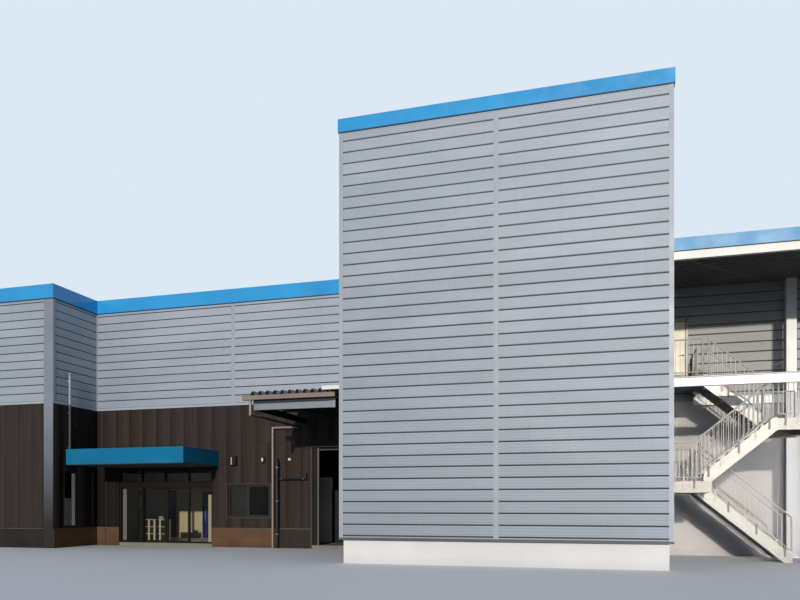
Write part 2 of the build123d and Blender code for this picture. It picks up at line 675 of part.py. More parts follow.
def pipes():
    """The gutter's downpipe with its wall clips, and the vent pipe on the wing's side."""
    wall_y = FRONT - PIPE_FROM_WALL - PIPE_RADIUS
    top_x = DECK_LEFT - GUTTER_OVERRUN + OUTLET_FROM_END
    top_y = FRONT - DECK_PROJECTION + GUTTER_UNDER_DECK - GUTTER_WIDTH / 2
    route = [
        (top_x, top_y, DECK_BOTTOM - GUTTER_HEIGHT), (top_x, top_y, PIPE_LEVEL),
        (top_x, wall_y, PIPE_LEVEL), (PIPE_X, wall_y, PIPE_LEVEL), (PIPE_X, wall_y, 0),
    ]
    down = [tube(route, PIPE_RADIUS)]
    for z in PIPE_CLIPS:
        down.append(block(PIPE_X - CLIP_WIDTH / 2, wall_y, z, PIPE_X + CLIP_WIDTH / 2, FRONT, z + CLIP_WIDTH))
    vent_x = CORNER + PIPE_FROM_WALL + PIPE_RADIUS
    vent = [tube([(vent_x, VENT_PIPE_Y, VENT_PIPE_BOTTOM), (vent_x, VENT_PIPE_Y, VENT_PIPE_TOP)], PIPE_RADIUS)]
    for z in VENT_CLIPS:
        vent.append(block(CORNER, VENT_PIPE_Y - CLIP_WIDTH / 2, z,
                          vent_x, VENT_PIPE_Y + CLIP_WIDTH / 2, z + CLIP_WIDTH))
    return {"downpipe": join(down), "vent_pipe": join(vent), "cable_pipe": cable_pipe()}


def cable_pipe():
    """The black cable pipe beside the downpipe: its cap, its branch and its wall clips."""
    y = FRONT - PIPE_FROM_WALL - CABLE_PIPE_RADIUS
    x, r = CABLE_PIPE_X, CABLE_PIPE_RADIUS
    cap = Pos(x, y, CABLE_PIPE_TOP + CABLE_PIPE_CAP / 2) * Cone(r, CABLE_PIPE_CAP_RADIUS, CABLE_PIPE_CAP)
    branch = [(x, y, BRANCH_LEVEL), (BRANCH_END, y, BRANCH_LEVEL), (BRANCH_END, y, BRANCH_LEVEL + BRANCH_RISE)]
    pieces = [tube([(x, y, 0), (x, y, CABLE_PIPE_TOP)], r), cap, tube(branch, BRANCH_RADIUS)]
    for z in CABLE_CLIPS:
        wall = FRONT - BASE_PROUD if z < BASE_TOP else FRONT
        pieces.append(block(x - r - CABLE_CLIP_SIDE, y, z, x + r + CABLE_CLIP_SIDE, wall, z + CLIP_WIDTH))
    return join(pieces)


def wall_lights():
    """The lantern and the oval bulkhead light between the entrance and the loading doorway."""
    half = LANTERN_WIDTH / 2
    lantern = block(LANTERN_X - half, FRONT - LANTERN_DEPTH, LANTERN_BOTTOM, LANTERN_X + half, FRONT,
                    LANTERN_BOTTOM + LANTERN_HEIGHT)
    lantern = chamfer(lantern.faces().sort_by(Axis.Y)[0].edges(), LANTERN_CHAMFER)
    wall = Plane(origin=(BULKHEAD_X, FRONT, BULKHEAD_MIDDLE), x_dir=(0, 0, 1), z_dir=(0, -1, 0))
    base = extrude(wall * SlotOverall(BULKHEAD_HEIGHT, BULKHEAD_WIDTH), BULKHEAD_BASE)
    lens = extrude(wall * SlotOverall(BULKHEAD_HEIGHT - 2 * BULKHEAD_RIM, BULKHEAD_WIDTH - 2 * BULKHEAD_RIM),
                   BULKHEAD_BASE + BULKHEAD_LENS)
    return group([lantern, join([base, lens])])


def h_beam(y0, low, height, x0, x1):
    """An H beam along X, with its web in the middle of its flanges."""
    y1, high = y0 + BEAM_WIDTH, low + height
    web0, web1 = (y0 + y1 - FLANGE) / 2, (y0 + y1 + FLANGE) / 2
    profile = [
        (y0, low), (y1, low), (y1, low + FLANGE), (web1, low + FLANGE), (web1, high - FLANGE),
        (y1, high - FLANGE), (y1, high), (y0, high), (y0, high - FLANGE), (web0, high - FLANGE),
        (web0, low + FLANGE), (y0, low + FLANGE),
    ]
    return along(profile, x0, x1)


def gallery():
    """The open gallery beside the tower: roof, fascia, beams, columns, floor and door."""
    front = GALLERY_FRONT
    beam_front = front + FASCIA_SHEET
    roof = block(TOWER_WIDTH, beam_front, GALLERY_SOFFIT, RIGHT, FRONT, GALLERY_ROOF_TOP - FASCIA_SHEET)
    low = GALLERY_ROOF_TOP - FASCIA_HEIGHT
    fascia = join([
        block(TOWER_WIDTH, front, low, RIGHT + FASCIA_SHEET, beam_front, GALLERY_ROOF_TOP),
        block(RIGHT, beam_front, low, RIGHT + FASCIA_SHEET, FRONT, GALLERY_ROOF_TOP),
    ])
    column_y = (beam_front + BEAM_WIDTH, FRONT - COLUMN)
    roof_beam_low = ROOF_BEAM_TOP - ROOF_BEAM_HEIGHT
    edge_low = EDGE_BEAM_TOP - EDGE_BEAM_HEIGHT
    lines = (COLUMN_LINE, RIGHT - COLUMN / 2)
    columns = [block(x - COLUMN / 2, y, 0, x + COLUMN / 2, y + COLUMN, GALLERY_SOFFIT)
               for x in lines for y in column_y]
    beams = [
        h_beam(beam_front, roof_beam_low, ROOF_BEAM_HEIGHT, TOWER_WIDTH, RIGHT),
        h_beam(beam_front, edge_low, EDGE_BEAM_HEIGHT, TOWER_WIDTH, RIGHT),
        h_beam(FRONT - BEAM_WIDTH, edge_low, EDGE_BEAM_HEIGHT, floor_edge(), COLUMN_LINE - COLUMN / 2),
    ]
    floor = block(TOWER_WIDTH, REAR_LANE, UPPER_FLOOR - LANDING_PLATE, floor_edge(), FRONT, UPPER_FLOOR)
    trim = UPPER_FLOOR - LANDING_DEPTH
    floor = join([
        floor,
        block(TOWER_WIDTH, REAR_LANE, trim, floor_edge(), REAR_LANE + STRINGER, UPPER_FLOOR),
        block(floor_edge() - STRINGER, REAR_LANE, trim, floor_edge(), FRONT, UPPER_FLOOR),
    ])
    return {
        "gallery_roof": roof,
        "gallery_fascia": fascia,
        "gallery_beams": group(beams),
        "gallery_columns": group(columns),
        "gallery_floor": floor,
        "upper_door": upper_door(),
    }


def upper_door():
    """The steel door at the head of the stair: its frame and its leaf, shut."""
    left = TOWER_WIDTH + UPPER_DOOR_SIDE
    right = left + UPPER_DOOR_WIDTH
    side = UPPER_DOOR_FRAME
    frame = block(left, FRONT, UPPER_FLOOR, right, FRONT + FRAME_DEPTH, UPPER_DOOR_TOP)
    frame -= block(left + side, FRONT, UPPER_FLOOR, right - side, FRONT + FRAME_DEPTH, UPPER_DOOR_TOP - side)
    leaf = block(left + side, FRONT + LEAF_GAP, UPPER_FLOOR, right - side, FRONT + LEAF_GAP + UPPER_DOOR_LEAF,
                 UPPER_DOOR_TOP - side)
    return join([frame, leaf])


def nosing_run(height):
    """How far along a flight its nosing line has risen by height."""
    return height / SLOPE


def stringer_foot():
    """The run over which a stringer stands on the landing below it."""
    return nosing_run(STRINGER_PLUMB - STRINGER_ABOVE - RISER)


def stringer_head(risers):
    """The run at which a stringer meets the landing above it."""
    return nosing_run(risers * RISER - RISER - LANDING_DEPTH + STRINGER_PLUMB - STRINGER_ABOVE)


def floor_edge():
    """The gallery floor's edge at the head of the upper flight."""
    return UPPER_TURN - stringer_head(UPPER_RISERS)


def flight(x, z, way, risers, lane):
    """A flight from its first riser at x: way is 1 up to the right, -1 up to the left."""
    top = z + risers * RISER
    last = x + way * (risers - 1) * GOING
    head = x + way * stringer_head(risers)
    foot = x + way * stringer_foot()
    above = STRINGER_ABOVE
    outline = [(x, z), (x, z + RISER + above), (last, top + above), (head, top + above),
               (head, top - LANDING_DEPTH), (foot, z)]
    far = lane + LANE_WIDTH
    pieces = [across(outline, lane, lane + STRINGER), across(outline, far - STRINGER, far)]
    for step in range(1, risers):
        near_x = x + way * (step - 1) * GOING
        far_x = near_x + way * GOING
        level = z + step * RISER
        pieces.append(block(near_x, lane, level - TREAD, far_x + way * RISER_PLATE, far, level))
        pieces.append(block(far_x, lane, level - TREAD, far_x + way * RISER_PLATE, far, level + RISER - TREAD))
    pieces.append(block(last, lane, top - TREAD, head, far, top))
    return join(pieces)


def landing(near, far, turn, top):
    """A plated landing: near and far are its two lanes' ends, turn is its other end."""
    low = top - LANDING_DEPTH
    y0, y1, y2 = FRONT_LANE, REAR_LANE, REAR_LANE + LANE_WIDTH
    outline = [(turn, y0), (near, y0), (near, y1), (far, y1), (far, y2), (turn, y2)]
    slab = plan(outline, low, top)
    way = 1 if near > turn else -1
    sheet = STRINGER
    pocket = [(turn + way * sheet, y0 + sheet), (near - way * sheet, y0 + sheet), (near - way * sheet, y1 - sheet),
              (far - way * sheet, y1 - sheet), (far - way * sheet, y2 - sheet), (turn + way * sheet, y2 - sheet)]
    return slab - plan(pocket, low, top - LANDING_PLATE)


def stair():
    """The dogleg steel stair: three flights and the two landings between them."""
    low_foot = STAIR_TURN + (LOWER_RISERS - 1) * GOING
    lower = landing(STAIR_TURN + stringer_foot(), low_foot - stringer_head(LOWER_RISERS), TOWER_WIDTH, LOWER_LANDING)
    upper = landing(STAIR_TURN + stringer_head(MIDDLE_RISERS), UPPER_TURN - stringer_foot(),
                    COLUMN_LINE - COLUMN / 2, UPPER_LANDING)
    return {
        "lower_flight": flight(low_foot, 0, -1, LOWER_RISERS, REAR_LANE),
        "middle_flight": flight(STAIR_TURN, LOWER_LANDING, 1, MIDDLE_RISERS, FRONT_LANE),
        "upper_flight": flight(UPPER_TURN, UPPER_LANDING, -1, UPPER_RISERS, REAR_LANE),
        "stair_landings": group([lower, upper]),
    }


def railing(x0, z0, x1, z1, face, out=-1):
    """A balustrade along X on the floor line from x0, z0 to x1, z1.

    It stands just inside the face of what carries it, and out tells which way that face looks.
    Its top rail turns down into its end posts.
    """
    way = 1 if x1 > x0 else -1
    lean = (z1 - z0) / (x1 - x0)
    centre = face - out * RAIL_RADIUS
    start, end = x0 + way * RAIL_RADIUS, x1 - way * RAIL_RADIUS
    low, high = BOTTOM_RAIL_ABOVE + BOTTOM_RAIL_RADIUS, RAIL_ABOVE - RAIL_RADIUS

    def level(x, above):
        return z0 + (x - x0) * lean + above

    def point(x, above):
        return (x, centre, level(x, above))

    hoop = [point(start, low), point(start, high), point(end, high), point(end, low)]
    pieces = [
        tube(hoop, RAIL_RADIUS, RAIL_SIDES),
        tube([point(start, low), point(end, low)], BOTTOM_RAIL_RADIUS, RAIL_SIDES),
    ]
    run = end - start
    count = max(2, math.ceil(abs(run) / BAR_SPACING))
    half = BAR_SIZE / 2
    for i in range(1, count):
        x = start + run * i / count
        pieces.append(block(x - half, centre - half, level(x, low), x + half, centre + half, level(x, high)))
    posts = max(1, round(abs(run) / CLAMP_SPACING))
    outer = face + out * CLAMP_PLATE
    for i in range(posts):
        x = start + run * (i + 0.5) / posts
        x_low, x_high = x - CLAMP_WIDTH / 2, x + CLAMP_WIDTH / 2
        foot, head = level(x, -CLAMP_DROP), level(x, low)
        pieces.append(block(x_low, face, foot, x_high, outer, head))
        pieces.append(block(x_low, centre, head - CLAMP_PLATE, x_high, outer, head))
    return join(pieces)


def railing_across(x, y0, y1, z, out):
    """A level balustrade along Y on the face at x."""
    return Pos(x, y0, 0) * Rot(0, 0, 90) * railing(0, z, y1 - y0, z, 0, out)


def railings():
    """The balustrades of the stair and of the gallery floor."""
    rear_far = REAR_LANE + LANE_WIDTH
    front_far = FRONT_LANE + LANE_WIDTH
    low_foot = STAIR_TURN + (LOWER_RISERS - 1) * GOING
    upper_head = UPPER_TURN - (UPPER_RISERS - 1) * GOING
    upper_near = STAIR_TURN + stringer_head(MIDDLE_RISERS)
    column = COLUMN_LINE - COLUMN / 2
    gap = RAIL_END_GAP
    stair_runs = [
        railing(low_foot, RISER, STAIR_TURN + gap, LOWER_LANDING, REAR_LANE),
        railing(low_foot, RISER, STAIR_TURN + gap, LOWER_LANDING, rear_far, 1),
        railing(TOWER_WIDTH, LOWER_LANDING, STAIR_TURN - gap, LOWER_LANDING, FRONT_LANE),
        railing(TOWER_WIDTH, LOWER_LANDING, STAIR_TURN - gap, LOWER_LANDING, rear_far, 1),
        railing(STAIR_TURN, LOWER_LANDING + RISER, UPPER_TURN, UPPER_LANDING, FRONT_LANE),
        railing(STAIR_TURN, LOWER_LANDING + RISER, UPPER_TURN, UPPER_LANDING, front_far, 1),
        railing(upper_near, UPPER_LANDING, column, UPPER_LANDING, FRONT_LANE),
        railing(UPPER_TURN + gap, UPPER_LANDING, column, UPPER_LANDING, rear_far, 1),
        railing(UPPER_TURN, UPPER_LANDING + RISER, upper_head + gap, UPPER_FLOOR, REAR_LANE),
        railing(UPPER_TURN, UPPER_LANDING + RISER, upper_head + gap, UPPER_FLOOR, rear_far, 1),
    ]
    gallery_runs = [
        railing(TOWER_WIDTH, UPPER_FLOOR, floor_edge(), UPPER_FLOOR, REAR_LANE),
        railing_across(floor_edge(), rear_far + gap, FRONT - gap, UPPER_FLOOR, -1),
    ]
    return {"stair_railings": group(stair_runs), "gallery_railings": group(gallery_runs)}


def build():
    """Every node of the building by name."""
    nodes = {}
    nodes.update(tower())
    nodes.update(front_walls())
    nodes.update(other_walls())
    nodes.update(base_course())
    nodes.update(roofs_and_floors())
    nodes["entrance_frame"] = entrance_screen()
    nodes["door_left_frame"], nodes["door_left_glass"] = sliding_leaf(-1)
    nodes["door_right_frame"], nodes["door_right_glass"] = sliding_leaf(1)
    nodes["entrance_canopy"] = entrance_canopy()
    nodes.update(lobby())
    nodes["window_frames"], window_panes = windows()
    nodes["fixed_glass"] = group(entrance_panes() + window_panes)
    nodes.update(loading_canopy())
    nodes["shutter_frame"] = shutter_frame()
    nodes.update(pipes())
    nodes["wall_lights"] = wall_lights()
    nodes.update(gallery())
    nodes.update(stair())
    nodes.update(railings())
    return nodes


os.makedirs("parts", exist_ok=True)
for name, shape in build().items():
    export_step(DATUM * shape, f"parts/{name}.step")
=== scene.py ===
# %% [markdown]
# A factory building, dressed for looks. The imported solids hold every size: this script
# lays boards, trims, glass and steel over them and gives each one its finish. All lengths
# are metres in the solids' own frame: X along the front, Y into the depth, Z up.

# %% The frame
import math

import bmesh
import bpy
from mathutils import Matrix, Vector


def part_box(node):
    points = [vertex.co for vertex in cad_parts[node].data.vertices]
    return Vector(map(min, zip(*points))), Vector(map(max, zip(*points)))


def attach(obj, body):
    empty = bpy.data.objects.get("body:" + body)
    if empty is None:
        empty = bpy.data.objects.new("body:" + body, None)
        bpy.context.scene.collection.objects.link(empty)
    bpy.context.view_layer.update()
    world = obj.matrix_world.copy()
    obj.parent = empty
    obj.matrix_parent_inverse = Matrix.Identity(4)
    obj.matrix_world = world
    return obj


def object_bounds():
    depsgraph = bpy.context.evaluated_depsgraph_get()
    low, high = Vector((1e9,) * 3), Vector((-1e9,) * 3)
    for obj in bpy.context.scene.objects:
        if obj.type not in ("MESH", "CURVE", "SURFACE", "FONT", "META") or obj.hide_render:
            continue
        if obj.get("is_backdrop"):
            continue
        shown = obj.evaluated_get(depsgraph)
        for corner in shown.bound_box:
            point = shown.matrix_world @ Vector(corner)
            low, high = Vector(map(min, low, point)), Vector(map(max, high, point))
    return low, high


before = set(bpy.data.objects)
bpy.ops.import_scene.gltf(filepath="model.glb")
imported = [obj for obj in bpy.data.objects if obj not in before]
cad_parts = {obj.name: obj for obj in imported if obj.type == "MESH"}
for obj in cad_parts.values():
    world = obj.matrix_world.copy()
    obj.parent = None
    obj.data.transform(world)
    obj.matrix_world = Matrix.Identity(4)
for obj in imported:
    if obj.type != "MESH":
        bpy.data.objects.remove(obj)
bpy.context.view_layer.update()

# %% [markdown]
# The camera stands on the forecourt, 1.56 m above it, and is turned a little to the left. It
# is level, so that the walls stay upright, and the lens is shifted up instead of tilted, as
# with an architect's camera.

# %% Camera
EYE = Vector((7.08, -27.2225, 1.56))
YAW = math.radians(15.82)
FOCAL = 32.4
HORIZON = 505.5
PICTURE = (800, 600)


def into_scene(made):
    """Links an object to the scene."""
    bpy.context.scene.collection.objects.link(made)
    return made


camera_data = bpy.data.cameras.new("camera")
camera_data.lens = FOCAL
camera_data.shift_y = (HORIZON - PICTURE[1] / 2) / PICTURE[0]
camera = into_scene(bpy.data.objects.new("camera", camera_data))
camera.location = EYE
camera.rotation_euler = (math.pi / 2, 0, YAW)
bpy.context.scene.camera = camera
print("camera at", tuple(EYE))

# %% [markdown]
# Finishes and patterns are node trees, written out instead of wired by hand. One function
# adds a node, fills its sockets and links what they follow. Another turns the sRGB codes of
# a paint chart into the linear colours that a renderer works with.

# %% Nodes and colours


def linear(code):
    """An sRGB hex colour as linear RGBA."""
    parts = [int(code[i:i + 2], 16) / 255 for i in (1, 3, 5)]
    return tuple(c / 12.92 if c <= 0.04045 else ((c + 0.055) / 1.055) ** 2.4 for c in parts) + (1.0,)


def add(tree, kind, inputs=(), **settings):
    """Adds a node and fills its sockets, in order or by name: values, colour codes or what they follow."""
    made = tree.nodes.new(kind)
    for name, value in settings.items():
        setattr(made, name, value)
    if not isinstance(inputs, dict):
        in_use = [i for i, socket in enumerate(made.inputs) if socket.enabled]
        inputs = dict(zip(in_use, inputs))
    for key, value in inputs.items():
        if isinstance(value, bpy.types.Node):
            value = next(socket for socket in value.outputs if socket.enabled)
        if isinstance(value, bpy.types.NodeSocket):
            tree.links.new(value, made.inputs[key])
        else:
            made.inputs[key].default_value = linear(value) if str(value)[0] == "#" else value
    return made


def blank_material(name):
    """A material and its empty tree."""
    material = bpy.data.materials.new(name)
    material.use_nodes = True
    material.node_tree.nodes.clear()
    return material, material.node_tree


def surfaced(material, surface):
    """Ends a material in one shader with the given inputs."""
    shader = add(material.node_tree, "ShaderNodeBsdfPrincipled", surface)
    add(material.node_tree, "ShaderNodeOutputMaterial", {"Surface": shader})
    return material


print("linear mid grey", round(linear("#808080")[0], 3))

# %% [markdown]
# The floor is a large pale sheet under a soft sky. Both show themselves at full strength to
# the camera and in reflections, and light the building more softly, as dark paving and open
# air do.

# %% Floor and sky
FLOOR_HALF = 400
SKY_STRENGTH = 0.44


def shows_itself(tree):
    """1 for rays that show the stage itself: from the camera, off gloss and through glass."""
    ray = add(tree, "ShaderNodeLightPath").outputs
    direct = add(tree, "ShaderNodeMath", (ray["Is Camera Ray"], ray["Is Glossy Ray"]), operation="MAXIMUM")
    return add(tree, "ShaderNodeMath", (direct, ray["Is Transmission Ray"]), operation="MAXIMUM")


def stage_floor():
    """The floor: a matt pale sheet that throws back no more light than paving does."""
    material, tree = blank_material("pale_floor")
    noise = add(tree, "ShaderNodeTexNoise", {"Scale": 0.4, "Detail": 2.0})
    tone = add(tree, "ShaderNodeMix", (noise, "#D9DADB", "#DEDEDE"), data_type="RGBA")
    seen = add(tree, "ShaderNodeMix", (shows_itself(tree), "#4C4C4E", tone), data_type="RGBA")
    surfaced(material, {"Base Color": seen, "Roughness": 0.9})
    mesh = bpy.data.meshes.new("floor")
    h = FLOOR_HALF
    mesh.from_pydata([(-h, -h, 0), (h, -h, 0), (h, h, 0), (-h, h, 0)], [], [(0, 1, 2, 3)])
    mesh.materials.append(material)
    floor = into_scene(bpy.data.objects.new("floor", mesh))
    floor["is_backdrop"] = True


def sky():
    """A pale sky."""
    world = bpy.data.worlds.new("sky")
    bpy.context.scene.world = world
    world.use_nodes = True
    tree = world.node_tree
    tree.nodes.clear()
    seen = add(tree, "ShaderNodeBackground", {"Color": "#DCE9F4", "Strength": 1.0})
    soft = add(tree, "ShaderNodeBackground", {"Color": "#C8DCF8", "Strength": SKY_STRENGTH})
    both = add(tree, "ShaderNodeMixShader", (shows_itself(tree), soft, seen))
    add(tree, "ShaderNodeOutputWorld", {"Surface": both})


stage_floor()
sky()
print("sky", SKY_STRENGTH)

# %% [markdown]
# One low sun stands nearly in front, as on a winter morning: the canopies throw their shadow
# far down the walls, and light reaches deep through the glass. A weak lamp aimed at the
# stair lifts its shadows, and neither the camera nor a reflection shows it.

# %% Sun and lamp
SUN_STRENGTH = 2.5
SUN_FROM_ZENITH = math.radians(77)
SUN_TO_THE_RIGHT = math.radians(4.9)
SUN_WIDTH = math.radians(1.4)
FILL_PLACE = Vector((16.4, -19.0, 1.0))
FILL_AT = Vector((10.6, -3.0, 1.4))
FILL_SIZE = 5.0
FILL_POWER = 110
FILL_SPREAD = math.radians(32)


def lamp(name, kind, strength, colour, **sizes):
    """A sun or a lamp of one colour."""
    data = bpy.data.lights.new(name, kind)
    data.energy = strength
    data.color = linear(colour)[:3]
    for key, value in sizes.items():
        setattr(data, key, value)
    return into_scene(bpy.data.objects.new(name, data))


sun = lamp("sun", "SUN", SUN_STRENGTH, "#FFF7EC", angle=SUN_WIDTH)
sun.rotation_euler = (SUN_FROM_ZENITH, 0, SUN_TO_THE_RIGHT)
fill = lamp("gallery_fill", "AREA", FILL_POWER, "#F4F6FF", size=FILL_SIZE, spread=FILL_SPREAD)
fill.location = FILL_PLACE
fill.rotation_euler = (FILL_AT - FILL_PLACE).to_track_quat("-Z", "Y").to_euler()
fill.visible_camera = False
fill.visible_glossy = False
bpy.context.scene.view_settings.view_transform = "Standard"
print("sun", SUN_STRENGTH)

# %% [markdown]
# Everything is placed from the tower's front left corner on the ground, as a surveyor
# would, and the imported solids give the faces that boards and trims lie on.

# %% Places
tower_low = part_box("tower_front_wall")[0]
ORIGIN = Vector((tower_low.x, tower_low.y, 0))


def edge(node, side, axis):
    """A node's low (0) or high (1) side along an axis, measured from the origin."""
    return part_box(node)[side]["xyz".index(axis)] - ORIGIN["xyz".index(axis)]


def left_right_foot_top(node):
    """The sides of a node that show from the front."""
    return edge(node, 0, "x"), edge(node, 1, "x"), edge(node, 0, "z"), edge(node, 1, "z")


TOWER_WIDTH = edge("tower_front_wall", 1, "x")
TOWER_BACK = edge("tower_back_wall", 1, "y")
FRONT = edge("front_upper_wall", 0, "y")
LEFT = edge("left_end_wall", 0, "x")
RIGHT = edge("right_end_wall", 1, "x")
BACK = edge("back_wall", 1, "y")
CORNER = edge("front_upper_wall", 0, "x")
WING_FRONT = edge("wing_front_wall", 0, "y")
BROWN_TOP = edge("front_upper_wall", 0, "z")
BASE_TOP = edge("base_course", 1, "z")
TOWER_FOOT = edge("tower_front_wall", 0, "z")
TOWER_CAP_LOW = edge("tower_cap", 0, "z")
MAIN_CAP_LOW = edge("main_cap", 0, "z")
print("front", round(FRONT, 3), "wing", round(WING_FRONT, 3), "ends", round(LEFT, 3), round(RIGHT, 3))

# %% [markdown]
# Coated sheet steel is the commonest finish here: the blue copings, the canopy, the white
# beams, the doors. A coil-coated or sprayed film gives a satin gloss, a faint orange peel,
# slow changes of tone, and a little dirt that rain has drawn downwards. One recipe makes
# them all, because they differ only in colour and gloss. Real orange peel is finer than a
# millimetre, and it is drawn at 4 mm here so that it shows at all.

# %% Coated metal
PEEL_SIZE = 0.004
STREAK_WIDTH = 0.12
STREAK_LENGTH = 2.5


def object_parts(tree):
    """The X, Y and Z of the place on the object, in metres."""
    place = add(tree, "ShaderNodeTexCoord").outputs["Object"]
    return add(tree, "ShaderNodeSeparateXYZ", (place,)).outputs


def object_noise(tree, size, stretch=(1, 1, 1), detail=3.0):
    """A noise value on object coordinates, with a typical grain size in metres."""
    place = add(tree, "ShaderNodeTexCoord").outputs["Object"]
    scaled = add(tree, "ShaderNodeMapping", {"Vector": place, "Scale": stretch})
    return add(tree, "ShaderNodeTexNoise", {"Vector": scaled, "Scale": 1 / size, "Detail": detail})


def clouds(tree, size, band, reach, stretch=(1, 1, 1), detail=3.0):
    """Soft patches of a typical size: a band of the noise, spread over what they reach."""
    return add(tree, "ShaderNodeMapRange", (object_noise(tree, size, stretch, detail), *band, *reach))


def coated_metal(name, light, dark, gloss=0.38, grime="#6E6A62", dirt=0.10, metallic=0.0,
                 shine=0.5, lower=None):
    """Sprayed or coil-coated sheet: two near tones, rain streaks and a fine orange peel.

    lower is the height below which the coat darkens as painted shade, and its tone there."""
    material, tree = blank_material(name)
    patches = clouds(tree, 1.6, (0.35, 0.65), (0.0, 1.0))
    base = add(tree, "ShaderNodeMix", (patches, light, dark), data_type="RGBA")
    drawn_out = (1 / STREAK_WIDTH, 1 / STREAK_WIDTH, 1 / STREAK_LENGTH)
    streaks = clouds(tree, 1.0, (0.52, 0.8), (0.0, dirt), drawn_out)
    tone = add(tree, "ShaderNodeMix", (streaks, base, grime), data_type="RGBA")
    if lower:
        height, shade_tone_below = lower
        up = object_parts(tree)["Z"]
        below = add(tree, "ShaderNodeMapRange", (up, height - 0.01, height + 0.01, 1.0, 0.0))
        tone = add(tree, "ShaderNodeMix", (below, tone, shade_tone_below), data_type="RGBA")
    peel = object_noise(tree, PEEL_SIZE, detail=1.0)
    bump = add(tree, "ShaderNodeBump", {"Strength": 0.04, "Distance": 0.001, "Height": peel})
    rough = clouds(tree, 0.5, (0.3, 0.7), (gloss - 0.05, gloss + 0.07))
    return surfaced(material, {"Base Color": tone, "Roughness": rough, "Metallic": metallic,
                               "Specular IOR Level": shine, "Normal": bump})


print("streaks are", STREAK_LENGTH, "m long")

# %% [markdown]
# Each coat takes two near tones of its colour. Dirt shows as a darker tone of what it lies
# on, so the blue and the white coats have a grime of their own. Two coats change their tone
# at a height, because their lower part stands in lasting shade.

# %% Coats of paint
BLUE_GRIME = "#1D4F7A"
WHITE_GRIME = "#B3ADA0"
blue_sheet = coated_metal("coil_coated_blue_steel", "#2AA2E2", "#2296D6", gloss=0.24, grime=BLUE_GRIME,
                          dirt=0.05)
fascia_blue = coated_metal("coil_coated_blue_fascia", "#4E9FD4", "#4696CB", gloss=0.42, grime=BLUE_GRIME,
                           dirt=0.05)
canopy_blue = coated_metal("coil_coated_deep_blue_steel", "#08749E", "#076A92", gloss=0.35, grime="#123E55",
                           shine=0.2)
white_steel = coated_metal("painted_white_steel", "#F1F1EE", "#E8E8E4", gloss=0.42, grime=WHITE_GRIME)
# The column's lower storey is greyer: painted shade.
white_column_shaded_below = coated_metal("painted_white_column", "#F1F1EE", "#E8E8E4", gloss=0.42, grime=WHITE_GRIME,
                            lower=(4.95, "#B0B1B2"))
beige_sheet = coated_metal("copper_beige_coated_pipe", "#8E7C72", "#817067", gloss=0.4, grime="#6F5949")
bronze_frame = coated_metal("dark_bronze_anodised_aluminium", "#2B2724", "#24201D", gloss=0.45, metallic=0.2,
                            shine=0.2)
entrance_bronze = coated_metal("black_bronze_anodised_aluminium", "#1D1A18", "#171412", gloss=0.5,
                               metallic=0.2, dirt=0.03, shine=0.12)
dark_bronze = coated_metal("dark_brown_coated_steel", "#1D1A18", "#171412", gloss=0.6, dirt=0.05, shine=0.15)
# A lighter bronze for edges that catch the light: painted highlight, not wear.
bronze_with_highlight = coated_metal("worn_bronze_edge", "#57514A", "#4C4741", gloss=0.4, metallic=0.3)
frame_grey = coated_metal("grey_painted_frame", "#A7A5A1", "#9B9995", gloss=0.4)
dark_steel = coated_metal("dark_primed_steel", "#1E2022", "#17191B", gloss=0.6, dirt=0.05, shine=0.15)
soffit_sheet = coated_metal("dark_grey_soffit_sheet", "#4B4A48", "#41403E", gloss=0.6, dirt=0.05)
gallery_sheet = coated_metal("grey_gallery_soffit_sheet", "#63625F", "#575653", gloss=0.6, dirt=0.05)
clamp_grey = coated_metal("dull_grey_steel", "#6E6B66", "#625F5B", gloss=0.5)
slot_grey = coated_metal("grey_green_window_reveal", "#D4DBD0", "#C8CFC4", gloss=0.5)
# The pipe is darker below 5.34 m: painted shade.
grey_pipe_shaded_below = coated_metal("grey_vinyl_pipe", "#A5ABB2", "#9BA1A8", gloss=0.5, lower=(5.34, "#3E3F42"))
shade_sheet = coated_metal("brown_grey_corrugated_sheet", "#33322F", "#2B2A27", gloss=0.6, shine=0.15)
# Dark blue-grey that stands for the gutter's shadow: painted shade.
gutter_shade_strip = coated_metal("blue_grey_closure", "#2F353E", "#282D35", gloss=0.5, dirt=0.05, shine=0.2)
bay_board = coated_metal("pale_screen_board", "#E6E3DA", "#DCD9D0", gloss=0.6)
lobby_white = coated_metal("pale_lobby_board", "#DEDDD2", "#D3D2C7", gloss=0.6, dirt=0.02)
lamp_lens = coated_metal("opal_lamp_lens", "#C4C7C9", "#B9BCBE", gloss=0.3, dirt=0.0)
cream_door = coated_metal("cream_painted_steel_door", "#D9D0B8", "#CFC5AC", gloss=0.4)
black_coat = coated_metal("black_coated_steel", "#111113", "#0C0C0D", gloss=0.45, dirt=0.05, shine=0.25)
navy_door = coated_metal("navy_painted_door", "#242A80", "#1F2470", gloss=0.3, dirt=0.02)
cream_board = coated_metal("cream_partition_board", "#D6C9A2", "#CBBE98", gloss=0.5, dirt=0.03)
grey_board = coated_metal("grey_partition_board", "#8E9089", "#84867F", gloss=0.5, dirt=0.04)
grey_sheet = coated_metal("grey_roof_sheet", "#9A9FA1", "#8C9193", gloss=0.5, dirt=0.25)
trim_grey = coated_metal("light_grey_trim", "#A6AEB7", "#9DA5AE", gloss=0.42, dirt=0.12)
# Dark grey for real flashings, and for painted shadow lines on the gallery.
dark_flashing_and_shadow = coated_metal("dark_grey_flashing", "#53565A", "#484B4F", gloss=0.5)
coping_shade_drip = coated_metal("dark_blue_drip", "#123A60", "#0F3254", gloss=0.5, dirt=0.0)
print("materials with the coated metals", len(bpy.data.materials))

